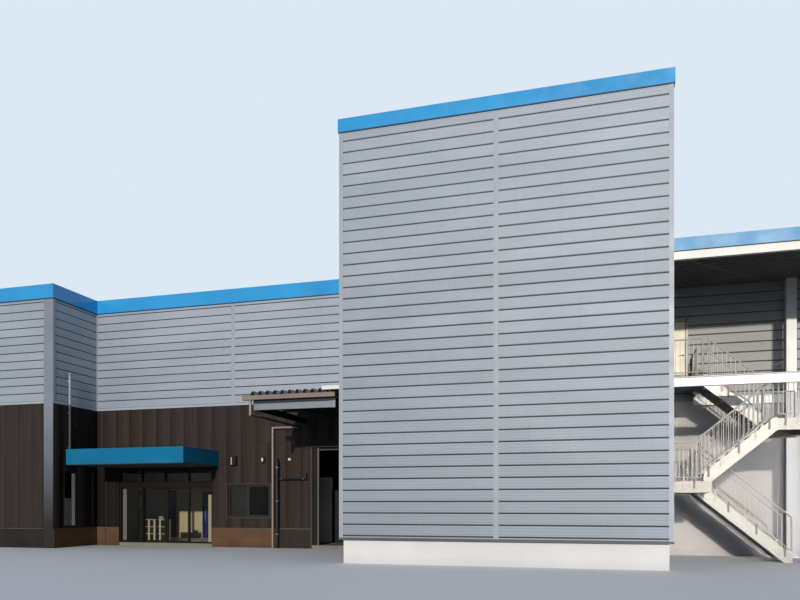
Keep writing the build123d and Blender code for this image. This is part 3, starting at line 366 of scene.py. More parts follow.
# %% [markdown]
# Mineral surfaces are matt: rendered walls, fibre-cement boards and concrete. Their colour
# is mottled at two sizes, their grain shows as a fine bump, and their foot is darker: damp
# on the walls, painted shade on the wing's corner sheet. The boards were pressed against a
# grained belt, so their mottling is drawn out upwards, and no two boards have quite the
# same tone, so the material knows where their joints are.

# %% Mineral finishes
GRAIN = 0.012
BOARD_PITCH = 0.605
BOARD_JOINT_AT = -7.360
SIDE_PITCH = 0.765
SIDE_JOINT_AT = 4.840
UPRIGHT = (1, 1, 0.05)


def chance(tree, steps):
    """A value that is the same all over one cell of a grid. steps gives each axis its start and its pitch."""
    parts = object_parts(tree)
    cell = {}
    for axis, (start, pitch) in steps.items():
        run = add(tree, "ShaderNodeMath", (parts[axis], start), operation="SUBTRACT")
        count = add(tree, "ShaderNodeMath", (run, pitch), operation="DIVIDE")
        cell[axis] = add(tree, "ShaderNodeMath", (count,), operation="FLOOR")
    return add(tree, "ShaderNodeTexWhiteNoise", {"Vector": add(tree, "ShaderNodeCombineXYZ", cell)})


def mineral(name, light, dark, patch=0.8, stretch=(1, 1, 1), bump=0.25, rough=0.85, foot=0.0,
            foot_height=0.25, steps=None):
    """A matt mineral surface: patches, grain, a darker foot (damp on walls, painted shade on the corner
    sheet), and a tone for each board.
    """
    material, tree = blank_material(name)
    patches = clouds(tree, patch, (0.35, 0.65), (0.0, 1.0), stretch, 4.0)
    base = add(tree, "ShaderNodeMix", (patches, light, dark), data_type="RGBA")
    if steps:
        by_board = add(tree, "ShaderNodeMapRange", (chance(tree, steps), 0.0, 1.0, 0.0, 0.55))
        base = add(tree, "ShaderNodeMix", (by_board, base, dark), data_type="RGBA")
    grain = object_noise(tree, GRAIN, stretch, 4.0)
    specks = add(tree, "ShaderNodeMapRange", (grain, 0.3, 0.7, 0.0, 0.35))
    fine = add(tree, "ShaderNodeMix", (specks, base, dark), data_type="RGBA")
    damp_and_shade = add(tree, "ShaderNodeMapRange", (object_parts(tree)["Z"], 0.0, foot_height, foot, 0.0))
    tone = add(tree, "ShaderNodeMix", (damp_and_shade, fine, "#2B2622"), data_type="RGBA")
    relief = add(tree, "ShaderNodeBump", {"Strength": bump, "Distance": 0.003, "Height": grain})
    return surfaced(material, {"Base Color": tone, "Roughness": rough, "Specular IOR Level": 0.2,
                               "Normal": relief})


white_render = mineral("white_rendered_wall", "#EFF0F0", "#E4E5E6", patch=1.4, foot=0.12)
brown_board = mineral("dark_brown_fibre_cement_board", "#392E2B", "#2C2521", patch=0.12, stretch=UPRIGHT,
                      bump=0.3, rough=0.7, steps={"X": (ORIGIN.x + BOARD_JOINT_AT, BOARD_PITCH),
                                                  "Y": (ORIGIN.y + SIDE_JOINT_AT, SIDE_PITCH)})
base_render = mineral("red_brown_rendered_base", "#6A503C", "#5C4434", patch=0.6, foot=0.3)
floor_tile = mineral("pale_floor_tile", "#E6E1D6", "#DAD5CA", patch=0.3, bump=0.05, rough=0.5)
# Near-black boards for the sheltered walls: brown fibre-cement with painted shade.
shade_painted_board = mineral("black_brown_fibre_cement_board", "#191412", "#13100E", patch=0.12, stretch=UPRIGHT,
                     rough=0.8)
# The corner sheet darkens from 5.3 m down to the ground: painted shade.
corner_sheet = mineral("blue_grey_corner_sheet", "#8A92A0", "#818A98", bump=0.05, rough=0.6, foot=1.2,
                       foot_height=5.3)
warm_render = mineral("pale_rendered_gallery_wall", "#BEBBB6", "#B3B0AB", patch=1.4, foot=0.12)
concrete = mineral("floated_concrete", "#8A857C", "#7A766E", patch=0.9)
# A near-black sheet that is painted shade: behind open joints, in the rack and on the bay door.
shade_lining = mineral("dark_lining_sheet", "#2C2B2A", "#222120", patch=0.7, bump=0.1)
# Black for a sealed joint, and painted shade in gaps and crest ends.
sealant_and_shade_black = mineral("joint_sealant", "#1A1817", "#131211", patch=0.4, bump=0.1)
print("materials with the mineral finishes", len(bpy.data.materials))

# %% [markdown]
# The siding is a steel-faced board, embossed with fine ribs and coated silver-grey. Each
# course catches the light a little differently, because no board sits quite like the next,
# so the tone changes with the course. The recess between two courses is darkened as painted
# shade, by an attribute that the boards carry: it is 1 in the recess and 0 on the face.
# The tower's siding also gets darker towards its foot.

# %% Siding
COURSE = 0.303
RIB = 0.0126
TOWER_RECESS = 0.738
MAIN_RECESS = 5.664
DARKEN_FROM, DARKEN_TO = 0.5, 9.0


def siding_material(name, light, dark, cloudy, recess, foot_darkening=0.0):
    """Embossed siding with a slightly different tone in each course. recess is the height of one joint."""
    material, tree = blank_material(name)
    height = object_parts(tree)["Z"]
    face = add(tree, "ShaderNodeMix", (chance(tree, {"Z": (recess, COURSE)}), light, dark), data_type="RGBA")
    cloud = clouds(tree, 2.2, (0.35, 0.65), (0.0, 0.6), (1, 1, 2.5))
    clouded = add(tree, "ShaderNodeMix", (cloud, face, cloudy), data_type="RGBA")
    grime = clouds(tree, 1.0, (0.55, 0.8), (0.0, 0.12), (9, 9, 0.5))
    grimy = add(tree, "ShaderNodeMix", (grime, clouded, "#64666A"), data_type="RGBA")
    # The tone gets darker towards the foot of the wall, by the share given.
    low = add(tree, "ShaderNodeMapRange", (height, DARKEN_FROM, DARKEN_TO, foot_darkening, 0.0))
    darkened_foot = add(tree, "ShaderNodeMix", (low, grimy, "#6C7278"), data_type="RGBA")
    # The recess takes a near-black tone: painted shade.
    joint = add(tree, "ShaderNodeAttribute", attribute_name="joint").outputs["Fac"]
    tone = add(tree, "ShaderNodeMix", (joint, darkened_foot, "#2C3035"), data_type="RGBA")
    turn = add(tree, "ShaderNodeMath", (height, 2 * math.pi / RIB), operation="MULTIPLY")
    wave = add(tree, "ShaderNodeMath", (turn,), operation="SINE")
    ribs = add(tree, "ShaderNodeBump", {"Strength": 0.35, "Distance": 0.0012, "Height": wave})
    return surfaced(material, {"Base Color": tone, "Metallic": 0.15, "Roughness": 0.48, "Normal": ribs})


tower_siding = siding_material("silver_grey_siding", "#A2ABB6", "#98A2AD", "#919AA5", TOWER_RECESS, 0.34)
main_siding = siding_material("silver_grey_siding_main", "#A7B0BB", "#9DA6B0", "#969EA9", MAIN_RECESS)
gallery_siding = siding_material("neutral_grey_siding", "#969695", "#8D8D8C", "#858585", MAIN_RECESS)
print("siding course", COURSE)

# %% [markdown]
# The stair and the railings were dipped in molten zinc. It freezes in flat crystals, some
# 20 mm across, whose tones differ a little, and weather turns them to a dull white. Float
# glass lets light through straight on, and at a glance it mirrors the sky, so its cover
# grows with the angle.

# %% Galvanised steel and glass
CRYSTAL = 0.020


def galvanised_material(name, light, dark, rough=0.42, metallic=0.45):
    """Hot-dip galvanised steel, weathered."""
    material, tree = blank_material(name)
    place = add(tree, "ShaderNodeTexCoord").outputs["Object"]
    crystals = add(tree, "ShaderNodeTexVoronoi", {"Vector": place, "Scale": 1 / CRYSTAL}).outputs["Color"]
    facet = add(tree, "ShaderNodeSeparateColor", (crystals,))
    base = add(tree, "ShaderNodeMix", (facet, light, dark), data_type="RGBA")
    cloud = clouds(tree, 0.35, (0.4, 0.7), (0.0, 0.5))
    tone = add(tree, "ShaderNodeMix", (cloud, base, light), data_type="RGBA")
    gloss = add(tree, "ShaderNodeMapRange", (facet, 0.0, 1.0, rough - 0.08, rough + 0.1))
    return surfaced(material, {"Base Color": tone, "Metallic": metallic, "Roughness": gloss})


def glass_material(name, tint, clear):
    """Float glass with a faint smear. clear is its cover straight on."""
    material, tree = blank_material(name)
    smear = clouds(tree, 0.7, (0.3, 0.7), (0.02, 0.06))
    facing = add(tree, "ShaderNodeLayerWeight", {"Blend": 0.5}).outputs["Facing"]
    glance = add(tree, "ShaderNodeMath", (facing, 3.0), operation="POWER")
    cover = add(tree, "ShaderNodeMapRange", (glance, 0.0, 1.0, clear, 0.95))
    return surfaced(material, {"Base Color": tint, "Roughness": smear, "Alpha": cover,
                               "Specular IOR Level": 0.35})


galvanised = galvanised_material("galvanised_steel", "#A3A19A", "#99988F", metallic=0.3)
landing_steel = galvanised_material("galvanised_landing_plate", "#98958C", "#8F8C84", metallic=0.3)
rail_steel = galvanised_material("galvanised_railing", "#B7B4AD", "#A8A59E", rough=0.55, metallic=0.1)
dull_galvanised = galvanised_material("weathered_galvanised_sheet", "#858B93", "#727880", rough=0.5)
clear_glass = glass_material("clear_float_glass", "#1E2624", 0.14)
print("materials in all", len(bpy.data.materials))

# %% [markdown]
# The imported solids come in grey, so each gets its finish here by name. The walls behind
# the boards show only in the joints, so they take the painted shade of the recess.

# %% Finishes for the imported solids
FINISHES = {
    white_render: ["tower_plinth"],
    warm_render: ["gallery_lower_wall"],
    shade_lining: ["tower_front_wall", "tower_left_wall", "tower_right_wall", "tower_back_wall",
                  "front_upper_wall", "wing_front_wall", "wing_side_upper_wall", "left_end_wall", "back_wall",
                  "right_end_wall", "gallery_upper_wall", "front_left_wall", "front_middle_wall",
                  "over_entrance_wall", "over_loading_wall", "loading_jamb_wall", "wing_side_lower_wall"],
    blue_sheet: ["tower_cap", "main_cap"],
    fascia_blue: ["gallery_fascia"],
    grey_sheet: ["tower_roof", "main_roof", "gallery_roof"],
    base_render: ["base_course", "wing_base_course"],
    concrete: ["ground_floor", "upper_floor"],
    entrance_bronze: ["entrance_frame", "door_left_frame", "door_right_frame"],
    bronze_frame: ["window_frames"],
    dark_bronze: ["shutter_frame"],
    clear_glass: ["door_left_glass", "door_right_glass", "fixed_glass"],
    canopy_blue: ["entrance_canopy"],
    lobby_white: ["lobby_walls"],
    cream_board: ["shoe_rack"],
    dull_galvanised: ["loading_deck"],
    dark_steel: ["loading_steel"],
    beige_sheet: ["loading_gutter", "downpipe"],
    white_steel: ["loading_flashing", "gallery_beams"],
    white_column_shaded_below: ["gallery_columns"],
    grey_pipe_shaded_below: ["vent_pipe"],
    black_coat: ["wall_lights", "cable_pipe"],
    cream_door: ["upper_door"],
    galvanised: ["gallery_floor", "lower_flight", "middle_flight", "upper_flight"],
    landing_steel: ["stair_landings"],
    rail_steel: ["stair_railings", "gallery_railings"],
}
for finish, names in FINISHES.items():
    for name in names:
        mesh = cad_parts[name].data
        mesh.materials.clear()
        mesh.materials.append(finish)
finished_nodes = {name for names in FINISHES.values() for name in names}
print("nodes without a finish", sorted(set(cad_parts) - finished_nodes))

# %% [markdown]
# Small closed shapes come from a few helpers. Sheet, boards and plates are bars, whose
# eased edges catch a line of light, and rolled or folded sections are an outline drawn out
# along a direction. Rings of points skinned with faces make all the others.

# %% Bars and drawn outlines
EASE = 0.003


def new_shape():
    """An empty collection of closed shapes."""
    return bmesh.new()


def bars(shape, rows, ease=EASE):
    """Bars with eased edges, each a row of its low and high corner."""
    for row in rows:
        low, size = Vector(row[:3]), Vector(row[3:]) - Vector(row[:3])
        verts = bmesh.ops.create_cube(shape, size=1.0)["verts"]
        for vert in verts:
            vert.co = low + Vector([(vert.co[i] + 0.5) * size[i] for i in range(3)])
        if ease:
            edges = list({e for v in verts for e in v.link_edges})
            bmesh.ops.bevel(shape, geom=edges, offset=min(ease, min(size) * 0.3), segments=1, affect="EDGES")


def skinned(shape, rings, smooth=True, loop=False):
    """Faces between rings of points, with an end face on each open end. A ring may be one point."""
    faces = []
    for ring, following in zip(rings, rings[1:] + (rings[:1] if loop else [])):
        count = max(len(ring), len(following))
        for k in range(count):
            j = (k + 1) % count
            corners = (ring[k % len(ring)], ring[j % len(ring)],
                       following[j % len(following)], following[k % len(following)])
            faces.append(shape.faces.new(dict.fromkeys(corners)))
            faces[-1].smooth = smooth
    if not loop:
        faces += [shape.faces.new(ring) for ring in (rings[0][::-1], rings[-1]) if len(ring) > 1]
    bmesh.ops.recalc_face_normals(shape, faces=faces)


def drawn(shape, outline, run):
    """An outline of 3-D points drawn out along a vector and closed."""
    skinned(shape, [[shape.verts.new(Vector(p) + Vector(way)) for p in outline] for way in ((0, 0, 0), run)],
            smooth=False)


print("bars ease by", EASE)

# %% [markdown]
# Rods and pipes are rings along a line, whose bends are arcs, and caps, lenses and bolts
# are rings turned about an axis.

# %% Pipes and turned shapes
UP = (0, 0, 1)
DOWN = (0, 0, -1)
OUT = (0, -1, 0)
PIPE_SIDES = 14


def ring_of(shape, middle, radius, across, other, sides):
    """One ring of points about a middle, or the middle itself."""
    if radius == 0:
        return [shape.verts.new(middle)]
    turns = [2 * math.pi * k / sides for k in range(sides)]
    return [shape.verts.new(middle + (across * math.cos(t) + other * math.sin(t)) * radius) for t in turns]


def rounded(points, radius, steps=5):
    """The points of a polyline with each corner turned into an arc."""
    points = [Vector(p) for p in points]
    out = [points[0]]
    for before, here, after in zip(points, points[1:], points[2:]):
        a, b = (before - here).normalized(), (after - here).normalized()
        half = a.angle(b) / 2
        cut = radius / math.tan(half)
        centre = here + (a + b).normalized() * (radius / math.sin(half))
        start, end = (here + a * cut - centre).normalized(), (here + b * cut - centre).normalized()
        for i in range(steps + 1):
            out.append(centre + start.slerp(end, i / steps).normalized() * radius)
    return out + [points[-1]]


def pipe(shape, points, radius, sides=PIPE_SIDES):
    """A round rod along points, closed at both ends."""
    points = [Vector(p) for p in points]
    across = None
    rings = []
    for i, here in enumerate(points):
        ahead = (points[min(i + 1, len(points) - 1)] - points[max(i - 1, 0)]).normalized()
        across = across or ahead.orthogonal()
        across = (across - ahead * across.dot(ahead)).normalized()
        rings.append(ring_of(shape, here, radius, across, ahead.cross(across), sides))
    skinned(shape, rings)


def turned(shape, profile, centre, axis, sides=20):
    """A closed shape turned about an axis. profile lists (along, radius), and may end at radius 0."""
    axis = Vector(axis).normalized()
    side = axis.orthogonal().normalized()
    skinned(shape, [ring_of(shape, Vector(centre) + axis * along, radius, side, axis.cross(side), sides)
                    for along, radius in profile])


def bolts(shape, centres, axis, radius=0.016, thick=0.010):
    """Hexagon heads on washers, whose shanks point against the axis."""
    for centre in centres:
        turned(shape, [(0, radius * 1.5), (0.003, radius * 1.5)], centre, axis, 16)
        turned(shape, [(0.003, radius), (thick, radius), (thick + 0.003, radius * 0.8)], centre, axis, 6)


print("pipes have", PIPE_SIDES, "sides")

# %% [markdown]
# What belongs together collects in one mesh, which ends as one object at the origin that
# rides on a body of the model.

# %% Pieces


def settle(name, mesh, body="building"):
    """Puts a finished mesh into the scene as a piece that rides on a body."""
    made = into_scene(bpy.data.objects.new(name, mesh))
    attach(made, body)
    print(name, "faces", len(mesh.polygons))


def piece(name, shape, material):
    """Turns a collection of shapes, built from the origin of the site, into a piece."""
    bmesh.ops.translate(shape, verts=shape.verts, vec=ORIGIN)
    mesh = bpy.data.meshes.new(name)
    shape.to_mesh(mesh)
    shape.free()
    mesh.materials.append(material)
    settle(name, mesh)


def bar_piece(name, material, rows, ease=EASE):
    """A piece that is bars alone."""
    shape = new_shape()
    bars(shape, rows, ease)
    piece(name, shape, material)


# %% [markdown]
# A pattern laid by Geometry Nodes ends as a piece too: the tree runs on an empty object, its
# result becomes a plain mesh, and the object goes. A matrix then moves the pattern, which is
# laid as if on a wall that looks to the front, onto the wall that it is for.

# %% Patterns
LOOKS = {"front": 0, "right": 90, "back": 180, "left": -90}


def evaluated(tree, values, place):
    """Runs a node tree on an empty object and gives its result, in its place, as a plain mesh."""
    host = into_scene(bpy.data.objects.new("host", bpy.data.meshes.new("host")))
    modifier = host.modifiers.new("nodes", "NODES")
    modifier.node_group = tree
    sockets = {s.name: s.identifier for s in tree.interface.items_tree if s.in_out == "INPUT"}
    for key, value in values.items():
        modifier[sockets[key]] = value
    bpy.context.view_layer.update()
    graph = bpy.context.evaluated_depsgraph_get()
    mesh = bpy.data.meshes.new_from_object(host.evaluated_get(graph))
    host.modifiers.clear()
    bpy.data.objects.remove(host)
    mesh.transform(place)
    return mesh


def laid(name, meshes):
    """Patterns with the same material, joined into one piece."""
    shape = new_shape()
    for mesh in meshes:
        shape.from_mesh(mesh)
    whole = meshes[0].copy()
    whole.name = name
    shape.to_mesh(whole)
    shape.free()
    for mesh in meshes:
        bpy.data.meshes.remove(mesh)
    settle(name, whole)


def on_face(x, y, z, look):
    """The place of a flat pattern on a wall: its low left corner seen from outside, and the way it looks."""
    return Matrix.Translation(ORIGIN + Vector((x, y, z))) @ Matrix.Rotation(math.radians(LOOKS[look]), 4, "Z")


print("walls look", sorted(LOOKS))

# %% [markdown]
# Both claddings are rows of one board, so Geometry Nodes lay them: the board's section is
# swept along its length and repeated across the wall, from a start outside it. Boards that
# pass an edge are cut by clamping their place, and points that fall together are merged.
# The inputs have names, so one tree serves every rectangle of wall.

# %% Rows of boards
MERGE = 0.0005


def sized_tree(name, sizes):
    """A new node tree with named number inputs and a material: the tree, its inputs and its output node."""
    tree = bpy.data.node_groups.new(name, "GeometryNodeTree")
    tree.interface.new_socket("Geometry", in_out="OUTPUT", socket_type="NodeSocketGeometry")
    for label, value in sizes.items():
        socket = tree.interface.new_socket(label, in_out="INPUT", socket_type="NodeSocketFloat")
        socket.default_value = value
    tree.interface.new_socket("Material", in_out="INPUT", socket_type="NodeSocketMaterial")
    return tree, add(tree, "NodeGroupInput").outputs, add(tree, "NodeGroupOutput")


def cut_along(tree, geometry, axis, top):
    """Geometry whose places along an axis are kept between zero and a top."""
    place = add(tree, "GeometryNodeInputPosition")
    parts = {part.name: part for part in add(tree, "ShaderNodeSeparateXYZ", (place,)).outputs}
    above = add(tree, "ShaderNodeMath", (parts[axis], 0.0), operation="MAXIMUM")
    parts[axis] = add(tree, "ShaderNodeMath", (above, top), operation="MINIMUM")
    kept = add(tree, "ShaderNodeCombineXYZ", parts)
    moved = add(tree, "GeometryNodeSetPosition", {"Geometry": geometry, "Position": kept})
    return add(tree, "GeometryNodeMergeByDistance", {"Geometry": moved, "Distance": MERGE})


def lay_rows(tree, out, section, sweep, row, material):
    """Sweeps a section, repeats it in a row that is cut at both ends, and ends the tree.

    sweep is the axis and length of one board, and row the axis, start, pitch and reach of them all."""
    curve = add(tree, "GeometryNodeMeshToCurve", (section,))
    closed = add(tree, "GeometryNodeSetSplineCyclic", {"Geometry": curve, "Cyclic": True})
    end = add(tree, "ShaderNodeCombineXYZ", dict([sweep]))
    path = add(tree, "GeometryNodeCurvePrimitiveLine", {"End": end})
    board = add(tree, "GeometryNodeCurveToMesh", {"Curve": path, "Profile Curve": closed, "Fill Caps": True})
    axis, start, pitch, reach = row
    span = add(tree, "ShaderNodeMath", (reach, start), operation="SUBTRACT")
    boards_in_span = add(tree, "ShaderNodeMath", (span, pitch), operation="DIVIDE")
    count = add(tree, "ShaderNodeMath", (boards_in_span,), operation="CEIL")
    first = add(tree, "ShaderNodeCombineXYZ", {axis: start})
    step = add(tree, "ShaderNodeCombineXYZ", {axis: pitch})
    places = add(tree, "GeometryNodeMeshLine", {"Count": count, "Start Location": first, "Offset": step})
    in_row = add(tree, "GeometryNodeInstanceOnPoints", {"Points": places, "Instance": board})
    real = add(tree, "GeometryNodeRealizeInstances", (in_row,))
    dressed = add(tree, "GeometryNodeSetMaterial",
                  {"Geometry": cut_along(tree, real, axis, reach), "Material": material})
    tree.links.new(dressed.outputs[0], out.inputs[0])


print("points merge within", MERGE)

# %% [markdown]
# A course of siding is 303 mm high. Its section starts as a line of points, and a point's
# number decides its place: most run down the face, sunk at a rib and deep in the recess, and
# the last two run up the flat back. The points in the recess are marked before the sweep,
# which carries the mark along the board for the material to read.

# %% The tree for siding
SECTION_POINTS = 25
RECESS = 0.030
RECESS_FLOOR = 0.003
BOARD_PROUD = 0.016
RIBS_PER_COURSE = 4
RIB_SHARE = 0.2
RIB_DEPTH = 0.0022


def siding_tree():
    """Courses of siding over a rectangle of wall."""
    tree, size, out = sized_tree("siding_boards", {
        "Length": 4.0, "Height": 3.0, "Course": COURSE, "First recess": 0.1, "Recess": RECESS,
        "Proud": BOARD_PROUD, "Rib depth": RIB_DEPTH})
    last = SECTION_POINTS - 1
    index = add(tree, "GeometryNodeInputIndex")
    share = add(tree, "ShaderNodeMath", (index, float(last)), operation="DIVIDE", use_clamp=True)
    up = add(tree, "ShaderNodeMapRange", (share, 0.0, 1.0, size["Course"], 0.0))
    in_recess = add(tree, "ShaderNodeMath", (up, size["Recess"]), operation="LESS_THAN")
    ribs_past = add(tree, "ShaderNodeMath", (share, float(RIBS_PER_COURSE)), operation="MULTIPLY")
    in_rib = add(tree, "ShaderNodeMath", (ribs_past,), operation="FRACT")
    rib = add(tree, "ShaderNodeMath", (in_rib, RIB_SHARE), operation="LESS_THAN")
    sunk = add(tree, "ShaderNodeMath", (rib, size["Rib depth"]), operation="MULTIPLY")
    face = add(tree, "ShaderNodeMath", (size["Proud"], sunk), operation="SUBTRACT")
    proud = add(tree, "ShaderNodeMix", (in_recess, face, RECESS_FLOOR))
    behind = add(tree, "ShaderNodeMath", (index, last + 0.5), operation="GREATER_THAN")
    at_top = add(tree, "ShaderNodeMath", (index, last + 1.5), operation="GREATER_THAN")
    down_the_face = add(tree, "ShaderNodeMix", (behind, up, 0.0))
    height = add(tree, "ShaderNodeMix", (at_top, down_the_face, size["Course"]))
    across = add(tree, "ShaderNodeMath", (height, -1.0), operation="MULTIPLY")
    off_wall = add(tree, "ShaderNodeMix", (behind, proud, 0.0))
    place = add(tree, "ShaderNodeCombineXYZ", {"X": off_wall, "Y": across})
    line = add(tree, "GeometryNodeMeshLine", {"Count": SECTION_POINTS + 2})
    shaped = add(tree, "GeometryNodeSetPosition", {"Geometry": line, "Position": place})
    marked = add(tree, "GeometryNodeStoreNamedAttribute",
                 {"Geometry": shaped, "Name": "joint", "Value": in_recess}, data_type="FLOAT")
    start = add(tree, "ShaderNodeMath", (size["First recess"], size["Course"]), operation="SUBTRACT")
    lay_rows(tree, out, marked, ("X", size["Length"]), ("Z", start, size["Course"], size["Height"]),
             size["Material"])
    return tree


siding_nodes = siding_tree()
print("siding tree nodes", len(siding_nodes.nodes))

# %% [markdown]
# Each wall is covered by rectangles of siding between its trims, and the courses of one
# wall line up because they all count from the height of the same joint.

# %% Siding boards
TRIM = 0.09
JOINT_TRIM = (4.150, 4.280)
MAIN_JOINT_TRIM = (-6.560, -6.420)
WING_PANEL = 0.39
CAP_LAP = 0.04
TOWER_LOW = TOWER_FOOT + 0.01
TOWER_HIGH = TOWER_CAP_LOW + CAP_LAP
MAIN_LOW = BROWN_TOP + 0.04
MAIN_HIGH = MAIN_CAP_LOW + CAP_LAP


def siding(x, y, look, length, low, high, recess, finish):
    """One rectangle of siding. x, y is its left end seen from outside."""
    values = {"Length": length, "Height": high - low, "First recess": (recess - low) % COURSE,
              "Material": finish}
    return evaluated(siding_nodes, values, on_face(x, y, low, look))


def tower_wall(x, y, look, length, low=TOWER_LOW):
    """Siding on the tower."""
    return siding(x, y, look, length, low, TOWER_HIGH, TOWER_RECESS, tower_siding)


def main_wall(x, y, look, length):
    """Siding on the main block."""
    return siding(x, y, look, length, MAIN_LOW, MAIN_HIGH, MAIN_RECESS, main_siding)


laid("tower_front_boards", [
    tower_wall(TRIM, 0, "front", JOINT_TRIM[0] - TRIM),
    tower_wall(JOINT_TRIM[1], 0, "front", TOWER_WIDTH - TRIM - JOINT_TRIM[1]),
])
laid("tower_side_boards", [
    tower_wall(0, FRONT, "left", FRONT - TRIM),
    tower_wall(TOWER_WIDTH, TRIM, "right", FRONT - TRIM),
    tower_wall(TOWER_WIDTH, TOWER_BACK, "back", TOWER_WIDTH, MAIN_HIGH),
])
laid("main_front_boards", [
    main_wall(CORNER, FRONT, "front", MAIN_JOINT_TRIM[0] - CORNER),
    main_wall(MAIN_JOINT_TRIM[1], FRONT, "front", -MAIN_JOINT_TRIM[1]),
    main_wall(CORNER, WING_FRONT + TRIM, "right", FRONT - WING_FRONT - TRIM),
    main_wall(LEFT + TRIM, WING_FRONT, "front", CORNER - LEFT - WING_PANEL - TRIM),
])
laid("main_end_boards", [
    main_wall(LEFT, BACK - TRIM, "left", BACK - WING_FRONT - 2 * TRIM),
    main_wall(RIGHT - TRIM, BACK, "back", RIGHT - LEFT - 2 * TRIM),
    main_wall(RIGHT, FRONT + TRIM, "right", BACK - FRONT - 2 * TRIM),
])

# %% [markdown]
# The lower walls carry dark brown fibre-cement boards, set upright and 605 mm apart, with a
# narrow open joint that has a chamfer on both sides. They are laid by nodes too: one board's
# plan, swept upwards, then repeated along the wall and cut at the wall's ends.

# %% The tree for upright boards
BOARD_JOINT = 0.009
BOARD_THICK = 0.014
BOARD_CHAMFER = 0.004


def board_tree():
    """Upright boards over a rectangle of wall."""
    tree, size, out = sized_tree("upright_boards", {
        "Length": 4.0, "Height": 3.0, "Pitch": BOARD_PITCH, "First joint": 0.1, "Joint": BOARD_JOINT,
        "Thick": BOARD_THICK, "Chamfer": BOARD_CHAMFER})
    width = add(tree, "ShaderNodeMath", (size["Pitch"], size["Joint"]), operation="SUBTRACT")
    inner = add(tree, "ShaderNodeMath", (width, size["Chamfer"]), operation="SUBTRACT")
    face = add(tree, "ShaderNodeMath", (size["Thick"], -1.0), operation="MULTIPLY")
    eased = add(tree, "ShaderNodeMath", (face, size["Chamfer"]), operation="ADD")
    plan = [(size["Chamfer"], face), (inner, face), (width, eased), (width, 0.0), (0.0, 0.0), (0.0, eased)]
    corner = add(tree, "GeometryNodeIndexSwitch", data_type="VECTOR")
    while len(corner.index_switch_items) < len(plan):
        corner.index_switch_items.new()
    tree.links.new(add(tree, "GeometryNodeInputIndex").outputs[0], corner.inputs[0])
    for k, (x, y) in enumerate(plan):
        tree.links.new(add(tree, "ShaderNodeCombineXYZ", (x, y)).outputs[0], corner.inputs[k + 1])
    line = add(tree, "GeometryNodeMeshLine", {"Count": len(plan)})
    shaped = add(tree, "GeometryNodeSetPosition", {"Geometry": line, "Position": corner})
    half_joint = add(tree, "ShaderNodeMath", (size["Joint"], 0.5), operation="MULTIPLY")
    before = add(tree, "ShaderNodeMath", (size["First joint"], size["Pitch"]), operation="SUBTRACT")
    start = add(tree, "ShaderNodeMath", (before, half_joint), operation="ADD")
    lay_rows(tree, out, shaped, ("Z", size["Height"]), ("X", start, size["Pitch"], size["Length"]),
             size["Material"])
    return tree


board_nodes = board_tree()
print("board tree nodes", len(board_nodes.nodes))

# %% [markdown]
# The boards leave out the entrance, the windows and the loading doorway, so the front is
# covered by rectangles round them, in two rows with a level joint. The boards in the shelter
# of the canopy and on the wing's side stand in the shade all day, and their near-black tone
# is painted shade.

# %% Upright boards
ROW_JOINT = 3.863
ROW_TOP, NEXT_ROW = ROW_JOINT - 0.004, ROW_JOINT + 0.004
FOOT = BASE_TOP - 0.02
ENTRANCE_LEFT, ENTRANCE_RIGHT, ENTRANCE_TOP, _ = left_right_foot_top("over_entrance_wall")
LOADING_LEFT, LOADING_RIGHT = edge("over_loading_wall", 0, "x"), edge("over_loading_wall", 1, "x")
LOADING_TOP = edge("shutter_frame", 1, "z")
CANOPY = left_right_foot_top("entrance_canopy")
SASH = (-6.750, edge("window_frames", 1, "x"), 1.105, 2.370)
SLOT = (4.135, 4.735, 0.760, 2.840)


def boards(x, y, look, length, low, high, pitch=BOARD_PITCH, joint_at=BOARD_JOINT_AT, finish=brown_board):
    """One rectangle of upright boards. x, y is its left end seen from outside."""
    run = {"front": x, "back": -x, "right": y, "left": -y}[look]
    values = {"Length": length, "Height": high - low, "First joint": (joint_at - run) % pitch, "Pitch": pitch,
              "Material": finish}
    return evaluated(board_nodes, values, on_face(x, y, low, look))


def front_wall(left, right, low, high, finish=brown_board):
    """Boards on the main block's front."""
    return boards(left, FRONT, "front", right - left, low, high, finish=finish)


def wing_side(near, far, low, high):
    """Boards on the wing's side."""
    return boards(CORNER, near, "right", far - near, low, high, SIDE_PITCH, SIDE_JOINT_AT, shade_painted_board)


laid("sheltered_boards", [front_wall(CORNER, ENTRANCE_LEFT, FOOT, CANOPY[2], shade_painted_board)])
laid("front_boards", [
    front_wall(CORNER, 0, NEXT_ROW, BROWN_TOP),
    front_wall(CORNER, ENTRANCE_LEFT, CANOPY[2], ROW_TOP),
    front_wall(ENTRANCE_LEFT, ENTRANCE_RIGHT, ENTRANCE_TOP, ROW_TOP),
    front_wall(ENTRANCE_RIGHT, SASH[0], FOOT, ROW_TOP),
    front_wall(SASH[0], SASH[1], SASH[3], ROW_TOP),
    front_wall(SASH[0], SASH[1], FOOT, SASH[2]),
    front_wall(SASH[1], LOADING_LEFT, FOOT, ROW_TOP),
])
laid("wing_boards", [
    wing_side(WING_FRONT, FRONT, SLOT[3], BROWN_TOP),
    wing_side(WING_FRONT, FRONT, FOOT, SLOT[2]),
    wing_side(WING_FRONT, SLOT[0], SLOT[2], SLOT[3]),
    wing_side(SLOT[1], FRONT, SLOT[2], SLOT[3]),
])
laid("wing_front_boards", [
    boards(LEFT, WING_FRONT, "front", CORNER - WING_PANEL - LEFT, FOOT, BROWN_TOP),
])
